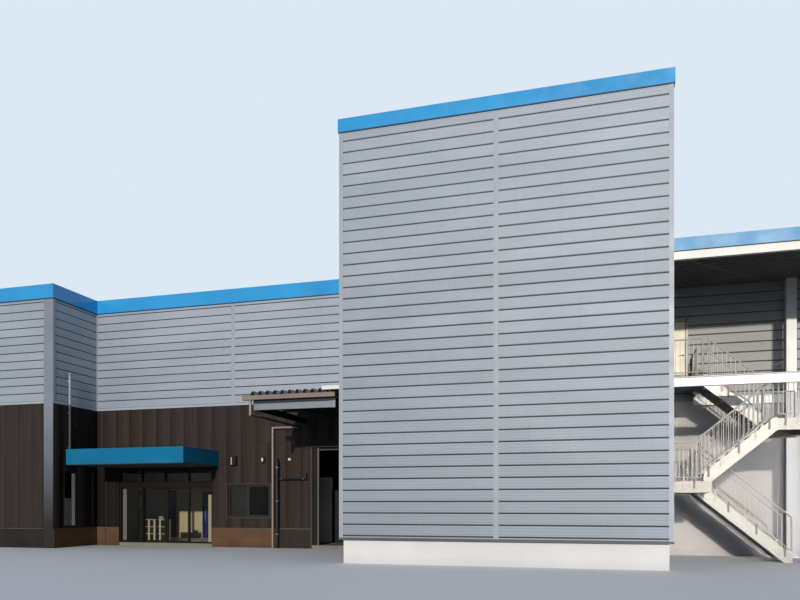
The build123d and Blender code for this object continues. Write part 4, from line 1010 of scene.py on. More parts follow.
laid("end_and_back_boards", [
    boards(LEFT, BACK, "left", BACK - WING_FRONT, FOOT, BROWN_TOP, SIDE_PITCH, -SIDE_JOINT_AT),
    boards(RIGHT, BACK, "back", RIGHT - LEFT, FOOT, BROWN_TOP, BOARD_PITCH, -BOARD_JOINT_AT),
    boards(RIGHT, FRONT, "right", BACK - FRONT, FOOT, BROWN_TOP, SIDE_PITCH, SIDE_JOINT_AT),
])

# %% [markdown]
# Where boards end, folded sheet covers the edge: at the corners, at the upright joints
# halfway along a wall, and at the inner corners. The trims stand a few millimetres prouder
# than the boards, so each one draws a light edge and a thin shadow. At the wing's corner a
# wide plain sheet replaces the boards down to the ground.

# %% Corner and joint trims
TRIM_PROUD = 0.022
LAP = 0.012


def corner_trim(shape, x, y, along_x, along_y, low, high):
    """A folded corner. along_x and along_y point from the corner into the two faces."""
    p, w = TRIM_PROUD, TRIM
    outline = [(-p, -p), (w, -p), (w, -0.004), (w - LAP, -0.004), (w - LAP, 0), (0, 0), (0, w - LAP),
               (-0.004, w - LAP), (-0.004, w), (-p, w)]
    drawn(shape, [(x + a * along_x, y + b * along_y, low) for a, b in outline], (0, 0, high - low))


def joint_trim(shape, x, y, look, width, low, high):
    """An upright cover with a ridge along both edges. x, y is its left side seen from outside."""
    p, ridge = TRIM_PROUD, 0.026
    outline = [(0, 0), (width, 0), (width, -p), (width - ridge, -p), (width - ridge - 0.006, -p + 0.012),
               (ridge + 0.006, -p + 0.012), (ridge, -p), (0, -p)]
    turn = Matrix.Translation((x, y, 0)) @ Matrix.Rotation(math.radians(LOOKS[look]), 4, "Z")
    drawn(shape, [turn @ Vector((a, b, low)) for a, b in outline], (0, 0, high - low))


print("trims stand proud by", TRIM_PROUD)

# %% [markdown]
# The trims run from the foot of the siding up behind the coping, which covers their ends.
# They share one material and never move, so all of them are one piece.

# %% Trims on the walls
TRIM_LOW = BROWN_TOP + 0.02
COVER = 0.13
INNER_TRIM = 0.045
GALLERY_LOW = edge("gallery_upper_wall", 0, "z")
SIDING_FOOT = BROWN_TOP - 0.030
MAIN_CORNERS = ((LEFT, WING_FRONT, 1, 1), (LEFT, BACK, 1, -1), (RIGHT, BACK, -1, -1), (RIGHT, FRONT, -1, 1))
COVERS = ((RIGHT, 11.9, "right"), (LEFT, 10.8, "left"), (8.15, BACK, "back"), (-0.25, BACK, "back"),
          (-8.65, BACK, "back"))

trims = new_shape()
for x, along_x in ((0, 1), (TOWER_WIDTH, -1)):
    corner_trim(trims, x, 0, along_x, 1, TOWER_LOW, TOWER_HIGH)
    corner_trim(trims, x, TOWER_BACK, along_x, -1, MAIN_HIGH, TOWER_HIGH)
for x, y, along_x, along_y in MAIN_CORNERS:
    corner_trim(trims, x, y, along_x, along_y, TRIM_LOW, MAIN_HIGH)
for (left, right), y, low, high in ((JOINT_TRIM, 0, TOWER_LOW, TOWER_HIGH),
                                    (MAIN_JOINT_TRIM, FRONT, TRIM_LOW, MAIN_HIGH)):
    joint_trim(trims, left, y, "front", right - left, low, high)
for x, y, look in COVERS:
    joint_trim(trims, x, y, look, COVER, TRIM_LOW, MAIN_HIGH)
bars(trims, [(CORNER, FRONT - INNER_TRIM, TRIM_LOW, CORNER + INNER_TRIM, FRONT, MAIN_HIGH),
             (-INNER_TRIM, FRONT - INNER_TRIM, TRIM_LOW, 0, FRONT, MAIN_HIGH),
             (TOWER_WIDTH, FRONT - INNER_TRIM, GALLERY_LOW, TOWER_WIDTH + INNER_TRIM, FRONT, TOWER_HIGH)])
piece("corner_and_joint_trims", trims, trim_grey)
bar_piece("wing_corner_panel", corner_sheet, [
    (CORNER - WING_PANEL, WING_FRONT - TRIM_PROUD, 0.03, CORNER + 0.016, WING_FRONT, MAIN_HIGH)])
bar_piece("wing_corner_edge", trim_grey, [
    (CORNER + 0.017, WING_FRONT - TRIM_PROUD, SIDING_FOOT, CORNER + 0.024, WING_FRONT + TRIM, MAIN_HIGH)
], 0.002)

# %% [markdown]
# Flashings, hems and lips are folded sheet with one profile along their whole length, so
# one function sweeps a profile along a line of the plan and mitres it at the corners.

# %% Mouldings
FLASHING_PROUD = 0.030


def moulding(shape, path, profile, closed=False):
    """A profile of (out, height) swept along a plan path, mitred at corners. Out is to the path's right."""
    path = [Vector(p) for p in path]
    count = len(path)
    rings = []
    for i, here in enumerate(path):
        runs = []
        if closed or i:
            runs.append((here - path[i - 1]).normalized())
        if closed or i < count - 1:
            runs.append((path[(i + 1) % count] - here).normalized())
        ways = [Vector((run.y, -run.x)) for run in runs]
        way = ways[0] if len(ways) == 1 else (ways[0] + ways[1]) / (1 + ways[0].dot(ways[1]))
        rings.append([shape.verts.new((here.x + way.x * out, here.y + way.y * out, z)) for out, z in profile])
    skinned(shape, rings, smooth=False, loop=closed)


def flashing(low, height, drop=0.012):
    """The profile of a folded flashing along the foot of the boards."""
    p = FLASHING_PROUD
    return [(0, low), (0, low + height), (0.018, low + height), (p, low + height * 0.45), (p, low - drop),
            (p - 0.006, low - drop), (p - 0.006, low + height * 0.2)]


def box_profile(inner, outer, low, high):
    """A plain rectangular profile."""
    return [(inner, low), (outer, low), (outer, high), (inner, high)]


def moulded(name, material, profile, paths, closed=False):
    """A piece that is one profile along a few paths."""
    shape = new_shape()
    for path in paths:
        moulding(shape, path, profile, closed)
    piece(name, shape, material)


print("flashings stand proud by", FLASHING_PROUD)

# %% [markdown]
# Along the foot of each cladding runs a flashing that throws the rain clear, and under each
# coping a hem and a drip, whose dark blue is painted shade. The walls' plan is written once,
# anticlockwise seen from above, so that out is always to the right. The foot flashings leave
# out the gallery's back wall and the wing's corner panel.

# %% Flashings and drips
MAIN_WALLS = [(TOWER_WIDTH, FRONT), (RIGHT, FRONT), (RIGHT, BACK), (LEFT, BACK), (LEFT, WING_FRONT),
              (CORNER, WING_FRONT), (CORNER, FRONT), (0, FRONT)]
ROUND_THE_BACK = MAIN_WALLS[1:5] + [(CORNER - WING_PANEL, WING_FRONT)]
TOWER_WALLS = [(0, 0), (TOWER_WIDTH, 0), (TOWER_WIDTH, TOWER_BACK), (0, TOWER_BACK)]
BASE_JOINT_AT = -12.064
CANOPY_SOFFIT_LINE = 2.52

moulded("siding_foot_flashing", trim_grey, flashing(SIDING_FOOT, 0.075), (ROUND_THE_BACK, MAIN_WALLS[5:]))
moulded("tower_foot_flashing", dark_flashing_and_shadow, flashing(TOWER_FOOT, 0.045, 0.02),
        [[(0, FRONT), (0, 0), (TOWER_WIDTH, 0), (TOWER_WIDTH, FRONT)]])
moulded("main_coping_hem", blue_sheet, box_profile(0.020, 0.0495, MAIN_CAP_LOW - 0.050, MAIN_CAP_LOW + 0.004),
        [MAIN_WALLS])
drips = new_shape()
moulding(drips, TOWER_WALLS, box_profile(0, 0.042, TOWER_CAP_LOW - 0.018, TOWER_CAP_LOW + 0.010), closed=True)
moulding(drips, MAIN_WALLS, box_profile(0, 0.040, MAIN_CAP_LOW - 0.078, MAIN_CAP_LOW - 0.048))
piece("coping_drips", drips, coping_shade_drip)
sills = new_shape()
for path in (ROUND_THE_BACK, MAIN_WALLS[5:7] + [(ENTRANCE_LEFT, FRONT)],
             [(ENTRANCE_RIGHT, FRONT), (LOADING_LEFT - 0.040, FRONT)]):
    moulding(sills, path, box_profile(0, 0.040, BASE_TOP - 0.022, BASE_TOP + 0.003))
bars(sills, [(BASE_JOINT_AT - 0.008, FRONT - 0.024, BASE_TOP,
              BASE_JOINT_AT + 0.008, FRONT, CANOPY_SOFFIT_LINE)], 0.002)
piece("base_top_flashing", sills, bronze_with_highlight)
bar_piece("base_joint", sealant_and_shade_black, [
    (BASE_JOINT_AT - 0.010, FRONT - 0.037, 0.01, BASE_JOINT_AT + 0.010, FRONT - 0.030, BASE_TOP - 0.022)
], 0.001)

# %% [markdown]
# The gallery's back wall has the same siding above the render, round the upper door.

# %% Gallery siding
DOOR_LEFT, DOOR_RIGHT, DOOR_FOOT, DOOR_TOP = left_right_foot_top("upper_door")


def gallery_wall(left, right, low, high):
    """Siding on the gallery's back wall."""
    return siding(left, FRONT, "front", right - left, low, high, MAIN_RECESS, gallery_siding)


laid("gallery_boards", [
    gallery_wall(DOOR_RIGHT, RIGHT - TRIM, GALLERY_LOW, MAIN_HIGH),
    gallery_wall(TOWER_WIDTH, DOOR_RIGHT, DOOR_TOP, MAIN_HIGH),
    gallery_wall(TOWER_WIDTH, DOOR_RIGHT, GALLERY_LOW, DOOR_FOOT),
])

# %% [markdown]
# The entrance canopy is a sheet-clad box: a folded lip runs round its top, and its soffit is
# four dark panels with open seams.

# %% Entrance canopy
SOFFIT_PANELS = 4
SOFFIT_EDGE = 0.02

moulded("canopy_lip", canopy_blue, box_profile(-0.050, 0.004, CANOPY[3] - 0.006, CANOPY[3] + 0.024),
        [[(CANOPY[0], FRONT), (CANOPY[0], WING_FRONT), (CANOPY[1], WING_FRONT), (CANOPY[1], FRONT)]])
panel_width = (CANOPY[1] - CANOPY[0] - 2 * SOFFIT_EDGE) / SOFFIT_PANELS
panel_left = [CANOPY[0] + SOFFIT_EDGE + i * panel_width for i in range(SOFFIT_PANELS)]
bar_piece("canopy_soffit", soffit_sheet, [
    (x + 0.004, WING_FRONT + SOFFIT_EDGE, CANOPY[2] - 0.016, x + panel_width - 0.004, FRONT, CANOPY[2])
    for x in panel_left])

# %% [markdown]
# Behind the glass stands what can be seen from the forecourt: a pale floor, wall ends and
# screens, two doors, and a low rack for shoes with its facings and a tray.

# %% Lobby
LOBBY_FLOOR = edge("lobby_walls", 0, "z")
FLOOR_TOP = LOBBY_FLOOR + 0.006
LOBBY_BACK = 10.15
RACK_LEFT, RACK_RIGHT, _, RACK_TOP = left_right_foot_top("shoe_rack")
RACK_FRONT = edge("shoe_rack", 0, "y")
RACK_BAYS = 4

bar_piece("lobby_floor_finish", floor_tile, [
    (-13.58, 6.17, LOBBY_FLOOR, -7.31, LOBBY_BACK - 0.01, FLOOR_TOP)], 0)
bar_piece("lobby_side_panel", grey_board, [
    (-11.405, 6.102, 0.200, -11.235, 6.117, 2.420),
    (-12.90, LOBBY_BACK - 0.06, 2.30, -7.32, LOBBY_BACK, 2.36)])
bar_piece("lobby_screen_and_door_frame", dark_bronze, [(-11.39, 7.00, FLOOR_TOP, -11.20, 7.05, 2.19)] + [
    (left, LOBBY_BACK - 0.07, low, right, LOBBY_BACK, 2.15)
    for left, right, low in ((-10.28, -10.24, FLOOR_TOP), (-9.34, -9.30, FLOOR_TOP), (-10.28, -9.30, 2.11))])
bar_piece("lobby_navy_doors", navy_door, [
    (-12.03, LOBBY_BACK - 0.06, FLOOR_TOP, -11.62, LOBBY_BACK - 0.01, 2.25),
    (-10.24, LOBBY_BACK - 0.055, FLOOR_TOP + 0.004, -9.34, LOBBY_BACK - 0.01, 2.11)])
pull = new_shape()
PULL_LINE = ((0.055, 0.85), (0.12, 0.85), (0.12, 1.35), (0.055, 1.35))
pipe(pull, rounded([(-10.09, LOBBY_BACK - out, z) for out, z in PULL_LINE], 0.025), 0.012)
piece("lobby_door_pull", pull, galvanised)
bay = (RACK_RIGHT - RACK_LEFT - 0.025) / RACK_BAYS
bay_left = [RACK_LEFT + i * bay for i in range(RACK_BAYS + 1)]
bar_piece("lobby_cream_boards", cream_board, [
    (-7.80, 6.40, FLOOR_TOP, -7.66, 6.46, 1.98),
    (-11.62, LOBBY_BACK - 0.03, FLOOR_TOP, -7.32, LOBBY_BACK - 0.005, 2.30)
] + [(max(x - 0.028, RACK_LEFT), RACK_FRONT - 0.008, FLOOR_TOP,
      min(x + (0.085 if x == RACK_LEFT else 0.052), RACK_RIGHT), RACK_FRONT, RACK_TOP) for x in bay_left])
# The compartments' dark backs are painted shade.
bar_piece("shoe_rack_lining", shade_lining, [
    (x + 0.028, RACK_FRONT + 0.15, 0.14, x + bay - 0.003, RACK_FRONT + 0.16, RACK_TOP - 0.03)
    for x in bay_left[:-1]])
x0, y0, x1, y1 = -10.55, 7.10, -10.27, 7.30
rim = RACK_TOP + 0.12
bar_piece("lobby_tray", trim_grey, [
    (x0, y0, RACK_TOP, x1, y1, RACK_TOP + 0.012), (x0, y0, RACK_TOP, x1, y0 + 0.01, rim),
    (x0, y1 - 0.01, RACK_TOP, x1, y1, rim), (x0, y0, RACK_TOP, x0 + 0.01, y1, rim),
    (x1 - 0.01, y0, RACK_TOP, x1, y1, rim)])

# %% [markdown]
# The windows get folded edges, lighter by a painted highlight, a crescent lock, and what
# stands behind their panes.

# %% Window edges and blinds
SASH_LEFT, SASH_RIGHT, SASH_SILL, SASH_HEAD = SASH
SASH_MIDDLE = (SASH_LEFT + SASH_RIGHT) / 2
SASH_FACE = FRONT - 0.018
SLOT_NEAR, SLOT_FAR, SLOT_SILL, SLOT_HEAD = SLOT
SLOT_FACE = (CORNER - 0.02, CORNER + 0.016)
EDGE_WIDTH = 0.012

slot_edges = [(SLOT_NEAR - EDGE_WIDTH, SLOT_SILL - EDGE_WIDTH, SLOT_FAR + EDGE_WIDTH, SLOT_SILL),
              (SLOT_NEAR - EDGE_WIDTH, SLOT_HEAD, SLOT_FAR + EDGE_WIDTH, SLOT_HEAD + EDGE_WIDTH),
              (SLOT_NEAR - EDGE_WIDTH, SLOT_SILL, SLOT_NEAR, SLOT_HEAD),
              (SLOT_FAR, SLOT_SILL, SLOT_FAR + EDGE_WIDTH, SLOT_HEAD)]
sash_edges = [(SASH_LEFT - 0.015, SASH_SILL - EDGE_WIDTH, SASH_RIGHT + 0.015, SASH_SILL + 0.004),
              (SASH_LEFT - 0.015, SASH_HEAD - 0.004, SASH_RIGHT + 0.015, SASH_HEAD + 0.010),
              (SASH_LEFT - EDGE_WIDTH, SASH_SILL, SASH_LEFT + 0.003, SASH_HEAD),
              (SASH_RIGHT - 0.003, SASH_SILL, SASH_RIGHT + EDGE_WIDTH, SASH_HEAD)]
bar_piece("window_edges", bronze_with_highlight, [
    (left, SASH_FACE, low, right, FRONT + 0.01, high) for left, low, right, high in sash_edges
] + [(SASH_MIDDLE - 0.036, FRONT, SASH_SILL, SASH_MIDDLE - 0.022, FRONT + 0.020, SASH_HEAD)] + [
    (SLOT_FACE[0], near, low, SLOT_FACE[1], far, high) for near, low, far, high in slot_edges], 0.002)
lock = new_shape()
turned(lock, [(0, 0.020), (0.014, 0.020), (0.020, 0.012)], (SASH_MIDDLE, FRONT + 0.090, 1.72), (0, 1, 0))
bars(lock, [(SASH_MIDDLE - 0.008, FRONT + 0.104, 1.66, SASH_MIDDLE + 0.008, FRONT + 0.114, 1.73)])
piece("sash_lock", lock, galvanised)
bar_piece("slot_window_blinds", lobby_white, [
    (CORNER - 0.082, SLOT_NEAR + 0.05, SLOT_SILL + 0.05, CORNER - 0.074, SLOT_FAR - 0.05, 1.83)])
bar_piece("slot_window_jamb", slot_grey, [
    (CORNER - 0.046, SLOT_FAR - 0.150, SLOT_SILL + 0.05, CORNER - 0.020, SLOT_FAR - 0.002, SLOT_HEAD - 0.05)
], 0.002)
bar_piece("sash_screen", shade_sheet, [
    (SASH_LEFT + 0.06, FRONT + 0.16, SASH_SILL + 0.06, SASH_MIDDLE - 0.02, FRONT + 0.166, SASH_HEAD - 0.06)])

# %% [markdown]
# The loading doorway's canopy shows the most small steel: a channel face with its bolted end
# plate, and the crests of its folded deck, whose open ends are black with painted shade.

# %% Loading canopy
DECK_LEFT, DECK_FRONT, DECK_LOW = (edge("loading_deck", 0, a) for a in "xyz")
DECK_PITCH = 0.25
DECK_CRESTS = 11
STEEL_LEFT, STEEL_FRONT, STEEL_LOW = (edge("loading_steel", 0, a) for a in "xyz")
STEEL_RIGHT = edge("loading_steel", 1, "x")
BEAM_END, BEAM_TOP = STEEL_RIGHT - 0.110, STEEL_LOW + 0.200

beam = new_shape()
bars(beam, [(STEEL_LEFT, STEEL_FRONT - out, low, BEAM_END, STEEL_FRONT - inner, high)
            for out, inner, low, high in ((0.004, 0, STEEL_LOW, BEAM_TOP),
                                          (0.009, 0.003, STEEL_LOW, STEEL_LOW + 0.010),
                                          (0.009, 0.003, BEAM_TOP - 0.010, BEAM_TOP))], 0.002)
bars(beam, [(STEEL_RIGHT - 0.175, STEEL_FRONT - 0.014, STEEL_LOW - 0.005,
             STEEL_RIGHT - 0.004, STEEL_FRONT - 0.005, BEAM_TOP + 0.008)], 0.002)
bolts(beam, [(STEEL_RIGHT - a, STEEL_FRONT - 0.014, z) for a in (0.140, 0.040)
             for z in (STEEL_LOW + 0.05, BEAM_TOP - 0.05)], OUT)
piece("canopy_beam_face", beam, dull_galvanised)
# A dark strip between the beam and the deck: painted shade of the gutter.
bar_piece("deck_front_closure", gutter_shade_strip, [
    (STEEL_LEFT - 0.02, STEEL_FRONT - 0.002, BEAM_TOP + 0.001,
     STEEL_RIGHT, STEEL_FRONT + 0.004, DECK_LOW - 0.004)])
crest_shade = new_shape()
for i in range(DECK_CRESTS):
    crest = [(DECK_LEFT + DECK_PITCH * i + a, DECK_FRONT + 0.03, DECK_LOW + b)
             for a, b in ((0.033, 0.001), (0.096, 0.137), (0.154, 0.137), (0.217, 0.001))]
    drawn(crest_shade, crest, (0, 0.003, 0))
piece("deck_crest_closures", crest_shade, sealant_and_shade_black)

# %% [markdown]
# The gutter has a rolled bead along its lip and straps over it, and the pipes are held by
# bands where they pass the wall.

# %% Gutter and pipes
GUTTER_LEFT, GUTTER_RIGHT, GUTTER_LOW, GUTTER_TOP = left_right_foot_top("loading_gutter")
GUTTER_FRONT = edge("loading_gutter", 0, "y")
DOWN_X, DOWN_Y = edge("downpipe", 0, "x") + 0.043, FRONT - 0.103
PIPE_RUN_X, PIPE_RUN_Z = -3.759, 4.40
CABLE_X, CABLE_Y, CABLE_Z = -4.632, FRONT - 0.125, 2.52
BAND = 0.035
BAND_RADIUS = 0.048


def band(shape, place, axis, width=BAND, radius=BAND_RADIUS):
    """A band round a pipe."""
    pipe(shape, [Vector(place), Vector(place) + Vector(axis) * width], radius)


gutter = new_shape()
pipe(gutter, [(x, GUTTER_FRONT + 0.004, GUTTER_TOP) for x in (GUTTER_LEFT, GUTTER_RIGHT)], 0.009, 10)
bars(gutter, [(x, GUTTER_FRONT - 0.004, GUTTER_LOW - 0.003, x + 0.03, GUTTER_FRONT, GUTTER_TOP + 0.004)
              for x in (GUTTER_LEFT + 0.30 + i * 0.62 for i in range(5))], 0.001)
for z in (0.55, 1.75, 2.95, 4.15):
    band(gutter, (DOWN_X, DOWN_Y, z), UP)
band(gutter, (-4.45, DOWN_Y, PIPE_RUN_Z), (1, 0, 0))
band(gutter, (PIPE_RUN_X, 2.08, 4.80), UP, 0.046, 0.055)
for y in (3.2, 4.6):
    band(gutter, (PIPE_RUN_X, y, PIPE_RUN_Z), (0, 1, 0))
piece("gutter_bead_and_bands", gutter, beige_sheet)
clamps = new_shape()
for z in (0.49, 1.70, 2.925):
    band(clamps, (CABLE_X, CABLE_Y, z + 0.002), UP, 0.036, 0.069)
for x in (-4.47, -3.62):
    band(clamps, (x, CABLE_Y, CABLE_Z), (1, 0, 0), 0.025, 0.037)
piece("cable_pipe_clamps", clamps, dull_galvanised)
outlet = new_shape()
bars(outlet, [(-4.236, FRONT - 0.030, 3.194, -4.146, FRONT - 0.014, 3.284)], 0.006)
turned(outlet, [(0, 0.038), (0.040, 0.038), (0.050, 0.028), (0.050, 0)], (-4.191, FRONT - 0.030, 3.239), OUT)
piece("wall_outlet", outlet, white_steel)

# %% [markdown]
# The shutter is drawn up into its case, so only its last slats and its bottom bar hang
# below. Edges lighter by a painted highlight mark the case and the guides, and in the bay
# stand a pale screen and a door that is dark with painted shade.

# %% Shutter and bay
RAIL = 0.270
RAIL_LEFT, RAIL_RIGHT = LOADING_LEFT + RAIL, LOADING_RIGHT - RAIL
SLAT = 0.03
CASE_LOW = LOADING_TOP - 0.26
BAY_FLOOR = 0.12

bar_piece("shutter_slats", dark_steel, [
    (RAIL_LEFT, FRONT + 0.050, CASE_LOW - i * SLAT - 0.027, RAIL_RIGHT, FRONT + 0.062, CASE_LOW - i * SLAT)
    for i in range(3)], 0.002)
bar_piece("shutter_edges", bronze_with_highlight, [
    (RAIL_LEFT, FRONT + 0.040, LOADING_TOP - 0.375, RAIL_RIGHT, FRONT + 0.066, LOADING_TOP - 0.348),
    (LOADING_LEFT - 0.20, FRONT - 0.095, LOADING_TOP - 0.268, -0.002, FRONT - 0.088, LOADING_TOP - 0.252),
    (RAIL_LEFT - 0.076, FRONT + 0.022, 0.122, RAIL_LEFT - 0.001, FRONT + 0.030, LOADING_TOP - 0.27),
    (RAIL_RIGHT + 0.001, FRONT + 0.022, 0.122, RAIL_RIGHT + 0.076, FRONT + 0.030, LOADING_TOP - 0.27),
    (LOADING_LEFT - 0.036, FRONT - 0.040, 0.010, LOADING_LEFT - 0.001, FRONT, LOADING_TOP - 0.262)], 0.002)
bar_piece("base_cover", brown_board, [
    (-4.560, FRONT - 0.044, 0.010, LOADING_LEFT - 0.040, FRONT - 0.035, BASE_TOP - 0.028)])
bar_piece("bay_screen_board", bay_board, [
    (-4.60, 8.02, BAY_FLOOR, -3.33, 8.05, 2.63), (-4.60, 8.00, 2.60, -3.33, 8.06, 2.66)])
bar_piece("bay_door", shade_lining, [
    (-3.33, 7.99, BAY_FLOOR, -3.28, 8.06, 2.16), (-3.28, 8.01, BAY_FLOOR + 0.005, -2.42, 8.05, 2.11),
    (-3.33, 7.99, 2.11, -2.37, 8.06, 2.16), (-2.42, 7.99, BAY_FLOOR, -2.37, 8.06, 2.16)])

# %% [markdown]
# Two lamps hang on the boards: a bulkhead lamp with an oval lens, squashed from a ball, and
# a lantern with a flat one.

# %% Wall lamps
BULKHEAD = Vector((-5.250, FRONT - 0.085, 3.243))
BULKHEAD_HALF = (0.052, 0.034, 0.088)
LANTERN_X, LANTERN_Y = edge("wall_lights", 0, "x"), edge("wall_lights", 0, "y")

lamps = new_shape()
for vert in bmesh.ops.create_uvsphere(lamps, u_segments=24, v_segments=14, radius=1.0)["verts"]:
    vert.co = BULKHEAD + Vector([vert.co[i] * BULKHEAD_HALF[i] for i in range(3)])
for face in lamps.faces:
    face.smooth = True
bars(lamps, [(LANTERN_X + 0.022, LANTERN_Y - 0.006, 3.085,
              LANTERN_X + 0.062, LANTERN_Y + 0.002, 3.355)], 0.004)
piece("wall_lamp_lenses", lamps, lamp_lens)

# %% [markdown]
# The gallery's soffit is a ribbed sheet. Its ribs are strips with the same plan as a board,
# so the tree for upright boards lays them too, and a matrix turns its pattern from a wall
# into a level face that looks down.

# %% Gallery soffit
RIBS_DOWN = Matrix(((0, 0, 1, 0), (1, 0, 0, 0), (0, 1, 0, 0), (0, 0, 0, 1)))
SOFFIT_LOW = edge("gallery_roof", 0, "z")


def strips(turn, corner, span, run, pitch, width, thick, material):
    """Equal strips on a level face, spaced along a span. turn brings their pattern off a wall into it."""
    values = {"Length": span, "Height": run, "Pitch": pitch, "Joint": pitch - width, "Thick": thick,
              "First joint": (pitch + width) / 2, "Chamfer": thick * 0.3, "Material": material}
    return evaluated(board_nodes, values, Matrix.Translation(ORIGIN + Vector(corner)) @ turn)


laid("gallery_soffit_ribs", [
    strips(RIBS_DOWN, (TOWER_WIDTH + 0.01, 2.05, SOFFIT_LOW - 0.004), FRONT - 2.07,
           RIGHT - TOWER_WIDTH - 0.03, 0.20, 0.035, 0.022, gallery_sheet)])
bar_piece("gallery_soffit_sheet", gallery_sheet, [
    (TOWER_WIDTH + 0.005, 1.92, SOFFIT_LOW - 0.005, RIGHT - 0.005, FRONT - 0.005, SOFFIT_LOW)], 0)

# %% [markdown]
# White facings cover the roof beam. Each column stands on a bolted plate, and another plate
# joins the floor's beam to it.

# %% Gallery steel
BEAM_FRONT = edge("gallery_beams", 0, "y")
FLOOR_BEAM_TOP = edge("gallery_beams", 0, "z") + 0.250
FACING_LOW = 8.008
FASCIA = edge("gallery_fascia", 0, "z")
INNER_COLUMN, END_COLUMN = 12.25, 16.39
COLUMN_ROWS = (2.17, 5.815)
PLATE_HALF = 0.19

facing = new_shape()
bars(facing, [(TOWER_WIDTH + 0.002, BEAM_FRONT - 0.006, FACING_LOW,
               RIGHT, BEAM_FRONT - 0.001, FASCIA - 0.006),
              (RIGHT + 0.001, BEAM_FRONT, FACING_LOW, RIGHT + 0.006, FRONT, FASCIA - 0.006)], 0.001)
for x, last_bolt in ((INNER_COLUMN, 0.165), (END_COLUMN, 0.120)):
    for y in COLUMN_ROWS:
        bars(facing, [(x - PLATE_HALF, y - PLATE_HALF, 0.0,
                       min(x + PLATE_HALF, RIGHT + 0.04), min(y + PLATE_HALF, FRONT), 0.022)])
        bolts(facing, [(x + a, y - 0.165, 0.022) for a in (-0.165, last_bolt)], UP, 0.014)
for x, right in ((INNER_COLUMN, INNER_COLUMN + 0.15), (END_COLUMN, RIGHT)):
    bars(facing, [(x - 0.15, BEAM_FRONT - 0.010, FLOOR_BEAM_TOP - 0.225,
                   right, BEAM_FRONT, FLOOR_BEAM_TOP - 0.025)])
    bolts(facing, [(x + a, BEAM_FRONT - 0.010, FLOOR_BEAM_TOP - b)
                   for a in (-0.11, 0.10) for b in (0.06, 0.19)], OUT, 0.012)
piece("gallery_beam_facing", facing, white_steel)

# %% [markdown]
# Thin dark lines of painted shadow part the fascia and the floor from the white beams, wind
# braces with turnbuckles cross under the soffit, and two flat round lamps light the gallery's floors.

# %% Lines, braces and ceiling lamps
BRACE_NEAR, BRACE_FAR, BRACE_HEIGHT = 2.02, 5.85, 8.19

shadow_lines = new_shape()
moulding(shadow_lines, [(TOWER_WIDTH + 0.002, BEAM_FRONT - 0.045), (RIGHT + 0.045, BEAM_FRONT - 0.045),
                 (RIGHT + 0.045, FRONT)], box_profile(-0.030, 0, FASCIA - 0.010, FASCIA + 0.001))
bars(shadow_lines, [(TOWER_WIDTH + 0.002, BEAM_FRONT - 0.003, FLOOR_BEAM_TOP, RIGHT, BEAM_FRONT + 0.128,
              FLOOR_BEAM_TOP + 0.012)], 0.002)
piece("gallery_dark_lines", shadow_lines, dark_flashing_and_shadow)
braces = new_shape()
for left, right in ((TOWER_WIDTH + 0.09, 12.02), (12.48, 16.2)):
    near, far = Vector((left, BRACE_NEAR, BRACE_HEIGHT)), Vector((right, BRACE_FAR, BRACE_HEIGHT))
    way = (far - near).normalized()
    pipe(braces, [near, far], 0.010, 10)
    pipe(braces, [near + way * 1.1, near + way * 1.35], 0.019, 10)
piece("gallery_wind_braces", braces, dull_galvanised)
ceiling = new_shape()
for place in ((9.468, 4.581, edge("gallery_floor", 0, "z")), (11.90, 3.80, 3.50)):
    turned(ceiling, [(0, 0.110), (0.025, 0.110), (0.050, 0.085), (0.058, 0)], place, DOWN, 28)
piece("gallery_ceiling_lights", ceiling, lamp_lens)

# %% [markdown]
# The steel door on the gallery has a grey frame face, a gap round the leaf that is black
# with painted shade, a lever on a rose, a keyhole, a threshold and three hinges.

# %% Upper door
LEVER = Vector((DOOR_RIGHT - 0.13, FRONT + 0.004, DOOR_FOOT + 1.08))
LEVER_LINE = ((0, -0.045, 0), (-0.012, -0.052, 0), (-0.125, -0.052, 0))
HINGES = (5.45, 6.25, 7.05)

bar_piece("upper_door_frame_face", frame_grey, [
    (left, FRONT - 0.020, low, right, FRONT + 0.004, DOOR_TOP + 0.004) for left, right, low in
    ((DOOR_RIGHT - 0.062, DOOR_RIGHT + 0.004, DOOR_FOOT), (DOOR_LEFT, DOOR_LEFT + 0.050, DOOR_FOOT),
     (DOOR_LEFT, DOOR_RIGHT + 0.004, DOOR_TOP - 0.060))])
bar_piece("upper_door_gap", sealant_and_shade_black, [
    (DOOR_RIGHT - 0.074, FRONT - 0.004, DOOR_FOOT, DOOR_RIGHT - 0.060, FRONT + 0.020, DOOR_TOP - 0.058),
    (DOOR_LEFT + 0.048, FRONT - 0.004, DOOR_TOP - 0.074, DOOR_RIGHT - 0.060, FRONT + 0.020, DOOR_TOP - 0.058)
], 0.001)
door = new_shape()
turned(door, [(0, 0.026), (0.008, 0.026), (0.008, 0.010), (0.045, 0.010)], LEVER, OUT)
pipe(door, rounded([LEVER + Vector(way) for way in LEVER_LINE], 0.010), 0.009, 12)
turned(door, [(0, 0.018), (0.006, 0.018)], LEVER - Vector((0, 0, 0.10)), OUT)
bars(door, [(DOOR_LEFT + 0.05, FRONT - 0.030, DOOR_FOOT,
             DOOR_RIGHT - 0.062, FRONT + 0.02, DOOR_FOOT + 0.015)])
bars(door, [(DOOR_LEFT + 0.048, FRONT - 0.006, z, DOOR_LEFT + 0.062, FRONT + 0.006, z + 0.12)
            for z in HINGES])
piece("upper_door_furniture", door, galvanised)

# %% [markdown]
# Every tread has a dark nosing with three grip lines, and the balustrades' posts are held
# to the stringers by plates. A flight climbs to the left or to the right from its foot.

